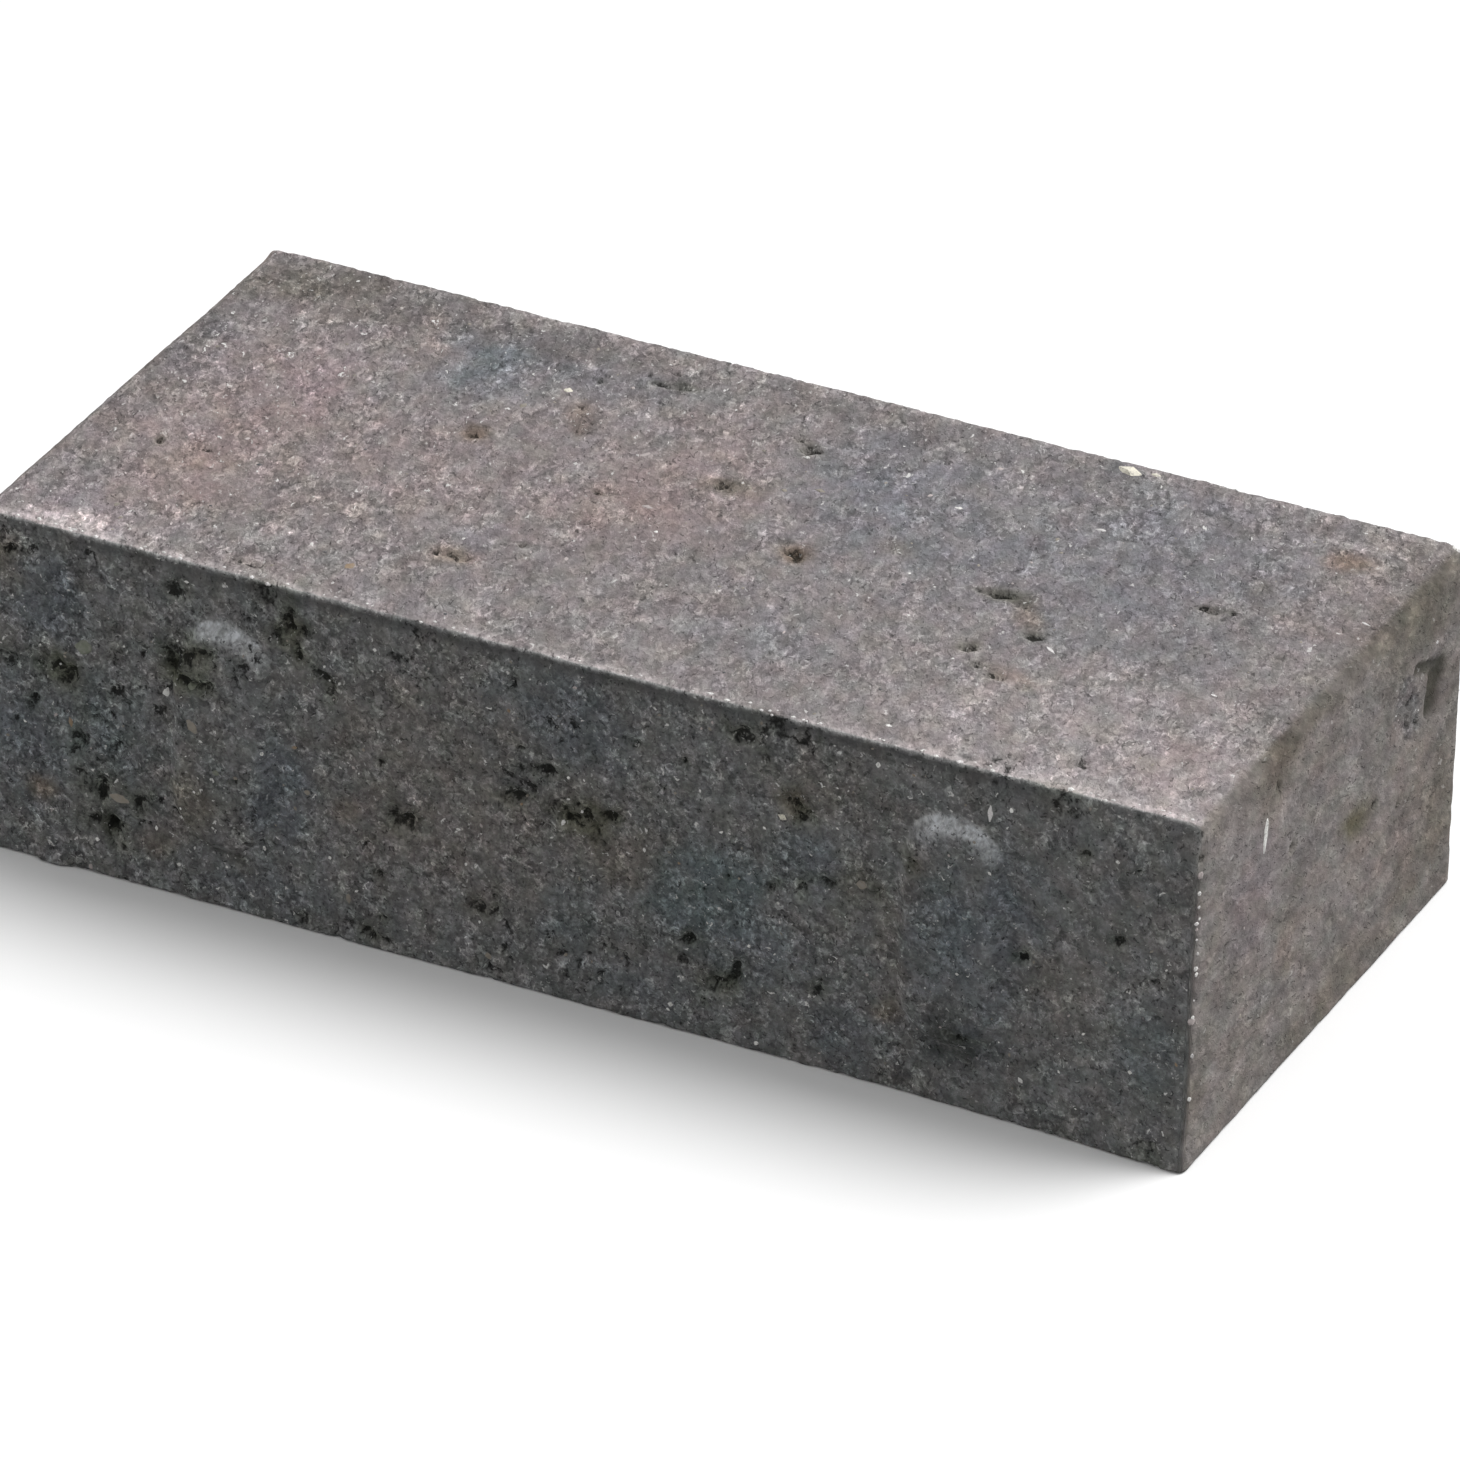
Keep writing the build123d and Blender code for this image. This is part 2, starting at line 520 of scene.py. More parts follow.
FRONT_MARKS: tuple[Mark, ...] = (
    Mark(13.4, 24.6, 2.4, 1.6, 1.1),
    Mark(16.2, 25.6, 2.2, 1.6, 1.4, 20),
    Mark(6.5, 25, 2.4, 1.5, 0.8),
    Mark(35.5, 5.2, 1.9, 1.4, 0.8),
    Mark(55, 6.2, 1.3, 3.6, 1.3, 12),
    Mark(56.6, 10.4, 0.9, 2.4, 0.9, -15),
    Mark(37.4, 16, 2.9, 2.2, 1.2, -15),
    Mark(34.8, 18.6, 1.5, 2.2, 1.1),
    Mark(40.4, 14.2, 1.6, 1.1, 0.8),
    Mark(61, 13.6, 2.2, 0.9, 0.8, 25),
    Mark(62.6, 16.4, 0.8, 1.9, 0.8, 10),
    Mark(18.4, 36.5, 0.9, 4.2, 0.8, 6),
    Mark(22.6, 44, 2.6, 2.2, 1.4, -10),
    Mark(29.6, 45, 1.6, 1.9, 1.0),
    Mark(25.4, 51.5, 1.4, 2.8, 1.1, -12),
    Mark(75.4, 35.6, 2.4, 1.6, 1.2, 20),
    Mark(72.6, 38, 1.2, 0.9, 0.7),
    Mark(93.6, 6.4, 0.8, 2.0, 0.8),
    Mark(100, 20, 2.2, 1.1, 0.9, -20),
    Mark(95, 26.2, 2.2, 1.2, 1.0, -10),
    Mark(106.2, 26.6, 3.0, 2.0, 1.7, -12),
    Mark(110.6, 25.2, 1.9, 1.0, 1.2, 8),
    Mark(108.4, 29.6, 1.1, 1.7, 0.9),
    Mark(114.4, 11.2, 1.5, 0.8, 0.6),
    Mark(133, 5, 2.5, 1.2, 1.0, 8),
    Mark(137, 8, 0.9, 1.4, 0.7),
    Mark(141.8, 14.4, 1.9, 1.9, 1.1),
    Mark(145.8, 26.8, 2.4, 0.8, 1.1, -8),
    Mark(143.8, 28.6, 0.8, 1.5, 1.0),
    Mark(156.2, 26.6, 1.1, 1.2, 0.9),
    Mark(129.4, 50, 2.4, 1.9, 1.4, -30),
    Mark(132.6, 46.8, 1.0, 2.1, 1.0, 30),
    Mark(147, 45.7, 1.1, 1.4, 0.8),
    Mark(91.6, 46, 0.7, 2.4, 0.7),
    Mark(73, 58, 1.4, 0.9, 0.7),
    Mark(58.6, 57.6, 1.2, 1.0, 0.7),
    Mark(162.4, 18.2, 1.3, 1.5, 0.9),
    Mark(124, 47, 1.4, 0.8, 0.6, 15),
    Mark(14.6, 59.4, 3.6, 1.2, -0.8),
    Mark(37.8, 17.2, 1.7, 1.4, -0.9, 10),
    Mark(37.9, 20.0, 2.6, 1.0, 1.0, 15),
    Mark(21.6, 50.4, 1.6, 1.6, 0.9),
    Mark(52.4, 9.2, 1.2, 1.6, 0.8, -10),
    Mark(57.4, 6.6, 1.4, 1.0, 0.8),
    Mark(171.6, 46.6, 2.8, 0.9, 1.2, 10),
    Mark(123.6, 43.6, 1.2, 0.9, 0.8),
    Mark(104.0, 27.8, 1.6, 1.2, 0.9, 30),
    Mark(88.6, 47.6, 1.6, 1.2, 0.7),
)
TOP_MARKS: tuple[Mark, ...] = (
    Mark(107, 20.5, 2.0, 1.4, 1.2, 15),
    Mark(104, 18.4, 1.2, 0.8, 0.5),
    Mark(78, 12, 2.5, 1.0, 0.9, -8),
    Mark(99.4, 38.2, 1.3, 1.9, 0.8, -20),
    Mark(57.5, 41, 1.6, 1.8, 0.7),
    Mark(68.4, 25.6, 1.0, 2.0, 0.45, -25),
    Mark(72, 33, 0.9, 1.6, 0.35, -25),
    Mark(118, 52, 2.0, 1.2, 0.8, 20),
    Mark(119.6, 54, 1.2, 1.1, 0.5),
    Mark(152.6, 49, 3.3, 1.1, 1.0, -4),
    Mark(157.0, 50.8, 2.4, 0.9, 0.6, 28),
    Mark(162.6, 59, 1.7, 1.0, 0.8, 10),
    Mark(183.0, 38.2, 2.3, 1.0, 1.0, -4),
    Mark(186.6, 37.6, 1.0, 0.8, 0.7),
    Mark(159, 71, 1.2, 0.7, 0.5),
    Mark(163.2, 73, 1.5, 0.8, 0.6, 20),
    Mark(167.6, 74.6, 1.2, 0.6, 0.4),
    Mark(72, 78.4, 2.4, 1.2, 0.4),
    Mark(23, 66, 1.4, 1.0, 0.35),
    Mark(46, 96, 2.0, 1.2, 0.5),
    Mark(51, 99.9, 1.9, 0.9, 0.6),
    Mark(137, 100, 1.8, 0.8, 0.5),
    Mark(186, 99.9, 2.6, 0.9, 0.6),
)
END_MARKS: tuple[Mark, ...] = (
    Mark(28.4, 7.2, 0.8, 2.0, 0.8, -14),
    Mark(34.8, 20.6, 0.9, 0.9, 0.7),
    Mark(66.4, 29.6, 0.9, 0.7, 0.5),
    Mark(11, 27, 1.0, 1.6, 0.35),
    Mark(0.9, 5.6, 0.7, 1.2, 0.35),
)
MARKS = {Face.FRONT: FRONT_MARKS, Face.TOP: TOP_MARKS, Face.RIGHT: END_MARKS}

GRAINS: tuple[Grain, ...] = (
    Grain(Face.FRONT, 19.3, 20, 1.7, 1.9, GREENISH),
    Grain(Face.FRONT, 33.9, 24.3, 0.75, 0.95, QUARTZ, -15),
    Grain(Face.FRONT, 39.4, 27.9, 0.9, 1.9, SAND, -38),
    Grain(Face.FRONT, 25.8, 45.3, 2.2, 1.1, SAND, 8),
    Grain(Face.FRONT, 39, 21.4, 1.2, 0.9, GREENISH, 10),
    Grain(Face.FRONT, 153.6, 25.7, 1.2, 1.0, SAND),
    Grain(Face.FRONT, 155.7, 4, 0.5, 0.75, QUARTZ),
    Grain(Face.FRONT, 140, 17.4, 1.0, 0.9, CREAM, 20, 0.25),
    Grain(Face.FRONT, 196.4, 9.3, 0.5, 0.45, QUARTZ),
    Grain(Face.FRONT, 70, 6.9, 0.45, 0.45, QUARTZ),
    Grain(Face.FRONT, 9.3, 36, 0.9, 0.32, QUARTZ, 8),
    Grain(Face.FRONT, 36.4, 54.3, 0.5, 0.5, QUARTZ),
    Grain(Face.FRONT, 90.7, 56, 1.0, 0.8, SAND),
    Grain(Face.FRONT, 51.4, 29.6, 0.45, 0.4, QUARTZ),
    Grain(Face.FRONT, 58.6, 35.3, 0.7, 0.6, SAND),
    Grain(Face.FRONT, 43.6, 35, 0.7, 0.7, GREENISH),
    Grain(Face.FRONT, 47, 35, 0.45, 0.4, SAND),
    Grain(Face.FRONT, 85, 34.7, 0.5, 0.4, QUARTZ),
    Grain(Face.FRONT, 71.4, 30, 0.4, 0.4, QUARTZ),
    Grain(Face.FRONT, 103.6, 20.4, 0.42, 0.42, QUARTZ),
    Grain(Face.FRONT, 200, 45, 0.45, 0.45, QUARTZ),
    Grain(Face.FRONT, 22, 53.6, 0.5, 0.5, QUARTZ),
    Grain(Face.FRONT, 122, 55.6, 0.5, 0.6, QUARTZ),
    Grain(Face.FRONT, 171, 35.4, 0.35, 0.35, QUARTZ),
    Grain(Face.FRONT, 31, 14.6, 1.4, 1.2, BASALT, 0, 0.2),
    Grain(Face.TOP, 60, 89.5, 1.2, 1.6, OCHRE, 25, 0.12),
    Grain(Face.TOP, 64, 21.4, 1.6, 1.0, CREAM, 5, 0.12),
    Grain(Face.TOP, 84, 34.8, 0.7, 1.7, ROSE, 30, 0.12),
    Grain(Face.TOP, 92, 50, 1.5, 0.7, ROSE, 0, 0.12),
    Grain(Face.TOP, 135, 12, 1.1, 0.8, ROSE, -20, 0.12),
    Grain(Face.TOP, 135, 27, 1.2, 0.6, QUARTZ, 0, 0.12),
    Grain(Face.TOP, 157.5, 22.8, 1.7, 0.7, CHALK, -8, 0.14),
    Grain(Face.TOP, 166.4, 61.4, 1.7, 0.5, CHALK, 35, 0.14),
    Grain(Face.TOP, 205.5, 30.5, 1.5, 0.5, CHALK, 15, 0.14),
    Grain(Face.TOP, 194.5, 62.5, 1.3, 0.4, CHALK, 15, 0.14),
    Grain(Face.TOP, 208.6, 1.6, 0.9, 0.8, QUARTZ, 0, 0.3),
    Grain(Face.TOP, 73.6, 37.6, 0.8, 0.4, ROSE, 0, 0.12),
    Grain(Face.TOP, 153.4, 3.0, 2.7, 1.7, CREAM, 8, 0.4),
    Grain(Face.TOP, 157.4, 2.2, 1.0, 0.7, CREAM, 0, 0.3),
    Grain(Face.TOP, 27, 60, 1.0, 0.8, ROSE, 20, 0.1),
    Grain(Face.TOP, 96.8, 56.6, 0.6, 0.5, QUARTZ, 0, 0.12),
    Grain(Face.TOP, 137, 49.6, 0.5, 0.6, QUARTZ, 0, 0.12),
    Grain(Face.TOP, 154.4, 71, 0.5, 0.5, QUARTZ, 0, 0.12),
    Grain(Face.TOP, 144.4, 72.6, 1.1, 0.5, ROSE, 25, 0.1),
    Grain(Face.TOP, 154.8, 94.8, 0.7, 0.6, QUARTZ, 0, 0.15),
    Grain(Face.RIGHT, 0.8, 8, 0.7, 0.9, ROSE, 0, 0.3),
    Grain(Face.RIGHT, 24.2, 13.4, 0.75, 4.6, QUARTZ, 7, 0.42),
    Grain(Face.FRONT, 174.8, 7.0, 0.55, 2.2, CHALK, 2, 0.25),
    Grain(Face.RIGHT, 88.8, 11.6, 0.9, 0.5, CHALK, 20, 0.2),
)


@dataclass(frozen=True)
class SkinKind:
    """How one kind of face came out of the press, and how sharply it ends at the edges."""

    colour: Rgb
    grit: float
    openness: float
    contrast: float
    mottling: float
    bumps: float
    random_pits: float
    reach: int


SKINS: dict[Face, SkinKind] = {
    Face.TOP: SkinKind((0.289, 0.262, 0.261), 0.06, 0.02, 1.03, 1.0, 1.0, 0.0006, 14),
    Face.FRONT: SkinKind((0.221, 0.222, 0.219), 0.12, 0.42, 1.60, 1.9, 1.3, 0.0030, 7),
    Face.BACK: SkinKind((0.221, 0.222, 0.219), 0.12, 0.44, 1.60, 1.9, 1.3, 0.0040, 7),
    Face.RIGHT: SkinKind((0.234, 0.213, 0.202), 0.05, 0.02, 0.62, 2.5, 0.45, 0.0003, 2),
    Face.LEFT: SkinKind((0.234, 0.213, 0.202), 0.05, 0.06, 0.70, 2.2, 0.55, 0.0012, 2),
    Face.BED: SkinKind((0.215, 0.208, 0.202), 0.13, 0.52, 1.50, 1.2, 1.3, 0.0060, 4),
}


@dataclass
class Relief:
    """The skin's shape and what its finish needs to know, worked out for a set of surface points."""

    block: Block
    points: np.ndarray
    normals: np.ndarray
    height: np.ndarray = field(init=False)
    # How much painted shade each point gets in pits, crevices and the scar's run-out.
    cavity_shade: np.ndarray = field(init=False)
    # Paleness: real wear on the rim and corners, and painted highlights on the nib arches and the pits' lower
    # lips.
    wear_and_highlight: np.ndarray = field(init=False)
    contrast: np.ndarray = field(init=False)
    tint: np.ndarray = field(init=False)
    shares: dict[Face, np.ndarray] = field(init=False)

    def __post_init__(self) -> None:
        """Start flat and clean, and find how much of each face a point belongs to."""
        count = len(self.points)
        self.height = np.zeros(count)
        self.cavity_shade = np.zeros(count)
        self.wear_and_highlight = np.zeros(count)
        facing = {}
        for face in Face:
            facing[face] = np.maximum(self.normals @ face.axes[0], 0.0) ** SKINS[face].reach
        total = sum(facing.values())
        self.shares = {face: share / total for face, share in facing.items()}
        self.contrast = self.blend("contrast")
        self.tint = np.zeros((count, 3))
        for face, share in self.shares.items():
            self.tint += share[:, None] * np.array(SKINS[face].colour)

    def blend(self, name: str) -> np.ndarray:
        """Blend the faces' own values of one of the skin's numbers over the rounded edges."""
        return sum(self.shares[face] * getattr(kind, name) for face, kind in SKINS.items())

    def stain_or_light(self, share: np.ndarray, tint: Rgb, where: np.ndarray | slice = slice(None)) -> None:
        """Multiply the colour by a tint, in full where the share is one: for real stains, and also for
        painted shade and painted highlights.
        """
        self.tint[where] *= 1.0 + share[:, None] * (np.array(tint) - 1.0)

    def local(self, face: Face, across: float, down: float, turn: float) -> tuple[np.ndarray, ...]:
        """Distances across, down and out from a spot on a face, turned clockwise by degrees."""
        out, right, below = face.axes
        gap = self.points - self.block.place(face, across, down)
        along, under = gap @ right, gap @ below
        cos, sin = math.cos(math.radians(turn)), math.sin(math.radians(turn))
        return along * cos + under * sin, under * cos - along * sin, gap @ out

    def raise_nibs(self) -> None:
        """Raise the two spacer nibs on each long side, each with a pale arch over its upper end: partly
        rubbed pale, partly a painted highlight on the upper flank, leaning right towards the light.
        """
        nibs = self.block.nibs
        radius = nibs.width / 2.0
        upper = nibs.below_top + radius
        lower = self.block.height - nibs.above_bed - radius
        wobble = Noise(11).smooth(self.points, 5.0) * 0.35
        for face in (Face.FRONT, Face.BACK):
            for centre in (nibs.from_left, self.block.length - nibs.from_right):
                across, down, out = self.local(face, centre, 0.0, 0.0)
                beyond = np.maximum(np.maximum(upper - down, down - lower), 0.0)
                edge = np.hypot(across, beyond) - radius + wobble
                outer = out > -NIB_DEPTH
                self.height += nibs.relief * ease(0.0, -nibs.flank, edge) * outer
                # The arch is partly a painted highlight: it sits on the upper flank and leans right, towards
                # the light.
                angle = np.degrees(np.arctan2(across, upper - down))
                arch = ease(0.5, -0.6, edge) * ease(-4.6, -1.2, edge) * outer
                arch *= ease(-66.0, -28.0, angle) * ease(78.0, 38.0, angle)
                arch *= np.clip(0.80 + 0.9 * Noise(12).rough(self.points, 2.0, 2), 0.0, 1.0)
                self.wear_and_highlight = np.maximum(self.wear_and_highlight, 0.80 * arch)
                self.stain_or_light(arch, nibs.rub_and_highlight_tint)

    def open_skin(self) -> None:
        """Give the skin its unevenness, grit and the open, crumbly places between pressed ones."""
        points = self.points
        waves = 0.14 * Noise(21).smooth(points, 48.0) + 0.06 * Noise(22).smooth(points, 17.0)
        grit = Noise(23).rough(points, 4.6, 3) + 0.7 * Noise(24).smooth(points, 1.5)
        self.height += waves
        self.height += self.blend("grit") * grit
        openness = self.blend("openness")
        for rough in FRONT_ROUGH:
            across, down, _ = self.local(Face.FRONT, rough.across, rough.down, 0.0)
            reach = np.hypot(across / rough.wide, down / rough.tall)
            openness += rough.amount * ease(1.4, 0.3, reach) * ease(0.1, 0.5, self.shares[Face.FRONT])
        cluster = Noise(25).rough(points, 17.0, 3)
        open_place = ease(0.0, 0.55, cluster + openness - 0.50)
        bent = points + 0.9 * np.stack([Noise(s).rough(points, 2.2, 2) for s in (31, 32, 33)], axis=1)
        gap, chance = Noise(26).crumbs(bent, 2.3)
        crevice = ease(0.56, 0.80, gap + 0.2 * Noise(27).smooth(points, 6.0)) * open_place
        dome = (1.0 - np.minimum(gap, 1.0) ** 2) * (chance - 0.4) * (0.15 + open_place) * openness
        self.height += 0.45 * dome - 0.60 * crevice
        # Painted shade in the crevices.
        self.cavity_shade = np.maximum(self.cavity_shade, 0.68 * crevice)

    def press_marks(self, marks: dict[Face, tuple[Mark, ...]]) -> None:
        """Press the marks of each face in, with ragged outlines."""
        ragged = 0.75 * Noise(41).smooth(self.points, 1.6) + 0.60 * Noise(42).smooth(self.points, 3.4)
        for face, face_marks in marks.items():
            for mark in face_marks:
                self.press_mark(face, mark, ragged)

    def press_mark(self, face: Face, mark: Mark, ragged: np.ndarray) -> None:
        """Sink a pit, with painted shade in it and around it and a painted highlight on its lower lip, or
        raise a lump.

        Args:
            face: the face that it lies on
            mark: the pit or lump
            ragged: how far each point shifts the outline
        """
        across, down, out = self.local(face, mark.across, mark.down, mark.turn)
        beside = (np.abs(across) < 3.0 * mark.wide + 1.5) & (np.abs(down) < 3.0 * mark.tall + 1.5)
        near = beside & (out > -FACE_DEPTH)
        if not near.any():
            return
        reach = np.hypot(across[near] / mark.wide, down[near] / mark.tall) + ragged[near]
        share = ease(1.25, 0.15, reach)
        self.height[near] -= mark.depth * share
        if mark.depth > 0.0:
            # Painted shade in the pit.
            dark = np.clip(share * (0.45 + mark.depth * 0.55), 0.0, 1.0)
            self.cavity_shade[near] = np.maximum(self.cavity_shade[near], dark)
            # Painted shade round the pit, with an olive tinge.
            self.stain_or_light(ease(2.5, 0.7, reach) * min(mark.depth, 1.0), (0.73, 0.75, 0.69), near)
            # Painted highlight where the pit's lower lip faces the sky.
            lip = ease(1.0, 1.2, reach) * ease(1.75, 1.3, reach) * ease(0.0, 1.0, down[near]) * mark.depth
            self.wear_and_highlight[near] = np.maximum(self.wear_and_highlight[near], 0.40 * np.minimum(lip, 1.0))

    def scatter_pits(self, seed: int) -> None:
        """Add small pits at random on every face, more of them where the skin is open."""
        draw = np.random.default_rng(seed)
        marks = {}
        for face, kind in SKINS.items():
            wide, tall = self.block.span(face)
            count = int(wide * tall * kind.random_pits)
            marks[face] = tuple(self.random_pit(draw, wide, tall) for _ in range(count))
        self.press_marks(marks)

    @staticmethod
    def random_pit(draw: np.random.Generator, wide: float, tall: float) -> Mark:
        """Draw one pit on a face of the given size."""
        size = draw.gamma(3.0, 0.22)
        across, down = draw.uniform(2, wide - 2), draw.uniform(2, tall - 2)
        pit_wide, pit_tall = size * draw.uniform(0.8, 1.6), size * draw.uniform(0.6, 1.1)
        return Mark(across, down, pit_wide, pit_tall, min(0.35 + 0.6 * size, 1.3), draw.uniform(-90, 90))

    def stroke(self, face: Face, stroke: Stroke) -> np.ndarray:
        """Nought on a stroke's middle line, one at its edge, more beyond."""
        across, down, out = self.local(face, *stroke.start, 0.0)
        reach = np.array(stroke.end) - np.array(stroke.start)
        length = float(np.linalg.norm(reach))
        along = np.clip((across * reach[0] + down * reach[1]) / length**2, 0.0, 1.0)
        gap = np.hypot(across - along * reach[0], down - along * reach[1])
        first, last = stroke.half_widths
        return np.where(out > -FACE_DEPTH, gap / (first + (last - first) * along), 9.0)

    def knock_scar(self, scar: Scar) -> None:
        """Sink the scar into the right end, with painted shade in its hook and in the run-out's hollows."""
        ragged = 0.20 * Noise(43).smooth(self.points, 2.6) + 0.16 * Noise(44).smooth(self.points, 1.1)
        bar = ease(1.45, 0.60, self.stroke(Face.RIGHT, scar.bar) + ragged)
        leg = ease(1.35, 0.65, self.stroke(Face.RIGHT, scar.leg) + ragged)
        hook = np.maximum(0.80 * bar, leg)
        beside = self.stroke(Face.RIGHT, scar.run_out) + 2.0 * ragged
        run_out = ease(1.50, 0.50, beside) * (1.0 - hook)
        torn = Noise(45).rough(self.points, 1.9, 2)
        self.height -= scar.depth * hook + run_out * (0.3 + 0.6 * torn)
        # Painted shade in the run-out's torn hollows.
        self.cavity_shade = np.maximum(self.cavity_shade, 0.45 * run_out * ease(0.1, 0.6, torn))
        # Painted shade of the pocket's upper and back walls, with its grain smoothed away.
        self.stain_or_light(hook, scar.hook_shade_tint)
        self.stain_or_light(run_out, scar.run_out_tint)
        self.contrast *= (1.0 - 0.85 * hook) * (1.0 + 1.6 * run_out)
        rim = ease(1.0, 1.2, beside) * ease(1.6, 1.3, beside) * (1.0 - hook)
        self.wear_and_highlight = np.maximum(self.wear_and_highlight, 0.18 * rim)

    def wear_rim(self) -> None:
        """Rub the rim and the upright corners pale, the front rim most, where the paleness is also a painted
        highlight, fray the rim and leave its burr along the front.
        """
        half, height = self.block.half, self.block.height
        to_end = half[0] - np.abs(self.points[:, 0])
        to_side = half[1] - np.abs(self.points[:, 1])
        to_rim = np.maximum(np.minimum(to_end, to_side), 0.0)
        below = np.maximum(height - self.points[:, 2], 0.0)
        fray = Noise(51).rough(self.points, 2.2, 2)
        broad = Noise(52).smooth(self.points, 13.0)
        front = ease(half[1] - 9.0, half[1] - 3.0, -self.points[:, 1])
        band = ease(2.6, 0.3, to_rim + 1.1 * fray) * ease(0.7, 0.2, below)
        # Along the front, the pale rim is real wear and also a painted highlight.
        paling = band * (0.12 + 0.50 * front) * np.clip(0.75 + 0.8 * broad, 0.0, 1.0)
        self.wear_and_highlight = np.maximum(self.wear_and_highlight, paling)
        near_rim = np.hypot(to_rim, below)
        self.height -= 0.26 * np.abs(fray) * ease(2.0, 0.3, near_rim)
        upright = np.hypot(np.maximum(to_end, 0.0), np.maximum(to_side, 0.0))
        self.wear_and_highlight = np.maximum(self.wear_and_highlight, 0.45 * ease(0.1, 0.5, fray) * ease(1.5, 0.5, upright))
        self.height -= 0.25 * np.maximum(Noise(55).smooth(self.points, 3.0), 0.0) * ease(2.2, 0.4, upright)
        self.leave_burr(below + 0.35 * fray)

    def leave_burr(self, below: np.ndarray) -> None:
        """Let the rim's lower edge stand out over a groove along the front, which gets painted shade under
        the burr.

        Args:
            below: distance below the wearing face, frayed
        """
        along = self.points[:, 0] + self.block.half[0]
        stretch = ease(4.0, 22.0, along) * ease(192.0, 176.0, along) * self.shares[Face.FRONT]
        strong = ease(88.0, 108.0, along) * 0.5 + 0.5
        self.height += 0.20 * stretch * strong * ease(1.2, 0.8, below) * ease(0.2, 0.6, below)
        groove = stretch * ease(0.5, 1.1, below) * ease(3.2, 1.5, below)
        self.height -= 0.22 * strong * groove
        # Painted shade in the groove under the burr.
        self.stain_or_light(groove, (0.60, 0.60, 0.60))
        self.contrast *= 1.0 - 0.65 * groove

    def lay_patches(self, patches: dict[Face, tuple[Patch, ...]]) -> None:
        """Lay the broad patches of colour on the faces, with frayed edges; a few of them are painted shade
        and a painted highlight at the nibs.
        """
        fray = np.stack([Noise(seed).rough(self.points, 9.0, 3) for seed in (61, 62)], axis=1)
        for face, face_patches in patches.items():
            on_face = ease(0.1, 0.5, self.shares[face])
            for patch in face_patches:
                across, down, _ = self.local(face, patch.across, patch.down, patch.turn)
                swing = min(patch.wide, patch.tall) * 0.45
                across = across + fray[:, 0] * swing
                down = down + fray[:, 1] * swing
                reach = np.hypot(across / patch.wide, down / patch.tall)
                self.stain_or_light(patch.strength * ease(1.35, 0.25, reach) * on_face, patch.tint.value)

    def dye_hidden_faces(self) -> None:
        """Carry the same kind of cloudy colour over the faces that the stone hides."""
        hidden = self.shares[Face.BACK] + self.shares[Face.LEFT] + self.shares[Face.BED]
        for seed, tint in ((71, Tint.BLUE), (72, Tint.WARM), (73, Tint.DARK), (74, Tint.TEAL)):
            self.stain_or_light(hidden * 0.7 * ease(0.1, 0.7, Noise(seed).rough(self.points, 26.0, 3)), tint.value)

    def vary_contrast(self) -> None:
        """Calm the front down towards its right end, and the top away from its back left corner."""
        along = self.points[:, 0] + self.block.half[0]
        from_back = self.block.half[1] - self.points[:, 1]
        change = 0.14 * ease(60.0, 10.0, along) - 0.22 * ease(140.0, 185.0, along)
        self.contrast *= 1.0 + change * self.shares[Face.FRONT]
        change = 0.18 * ease(95.0, 35.0, along) + 0.16 * ease(34.0, 12.0, from_back)
        self.contrast *= 1.0 + change * self.shares[Face.TOP]

    def carve(self) -> None:
        """Work out the whole skin."""
        self.vary_contrast()
        self.open_skin()
        self.raise_nibs()
        self.press_marks(MARKS)
        self.scatter_pits(seed=5)
        self.knock_scar(Scar())
        self.wear_rim()
        self.lay_patches(PATCHES)
        self.dye_hidden_faces()

    @property
    def places(self) -> np.ndarray:
        """The points moved out or in by the skin's height, slightly out of true, with none below the bed."""
        moved = self.points + self.normals * self.height[:, None]
        lean = self.block.corner_lean * ease(45.0, 105.0, moved[:, 0]) * ease(60.0, 52.0, moved[:, 2])
        lean += self.block.foot_lean * ease(80.0, 105.0, moved[:, 0]) * ease(14.0, 0.0, moved[:, 2])
        moved[:, 1] -= lean * ease(10.0, -50.0, moved[:, 1])
        moved[:, 2] = np.maximum(moved[:, 2], 0.0)
        return moved


@dataclass
class Lattice:
    """The shell of a box-shaped lattice, whose points are shared along the box's edges."""

    block: Block
    spacing: float

    def build(self) -> tuple[np.ndarray, np.ndarray]:
        """Lay points over the block's six faces.

        Returns:
            The points in millimetres, and four point numbers for each quad, seen from outside.
        """
        counts = [max(2, round(2.0 * half / self.spacing)) for half in self.block.half]
        lines = [np.linspace(-half, half, count + 1) for half, count in zip(self.block.half, counts)]
        sizes = [count + 1 for count in counts]
        grid = np.indices(sizes)
        last = np.array(counts)[:, None, None, None]
        shell = ((grid == 0) | (grid == last)).any(axis=0)
        numbers = np.full(sizes, -1)
        numbers[shell] = np.arange(shell.sum())
        index = np.argwhere(shell)
        points = np.stack([lines[axis][index[:, axis]] for axis in range(3)], axis=1) + self.block.middle
        quads = [self.sheet(numbers, axis, far) for axis in range(3) for far in (False, True)]
        return points, np.concatenate(quads)

    @staticmethod
    def sheet(numbers: np.ndarray, axis: int, far: bool) -> np.ndarray:
        """Quads of one side of the lattice, wound so that they face outwards."""
        side = np.take(numbers, -1 if far else 0, axis=axis)
        a, b, c, d = side[:-1, :-1], side[1:, :-1], side[1:, 1:], side[:-1, 1:]
        turned = far == (axis != 1)
        corners = (a, b, c, d) if turned else (a, d, c, b)
        return np.stack([corner.ravel() for corner in corners], axis=1)


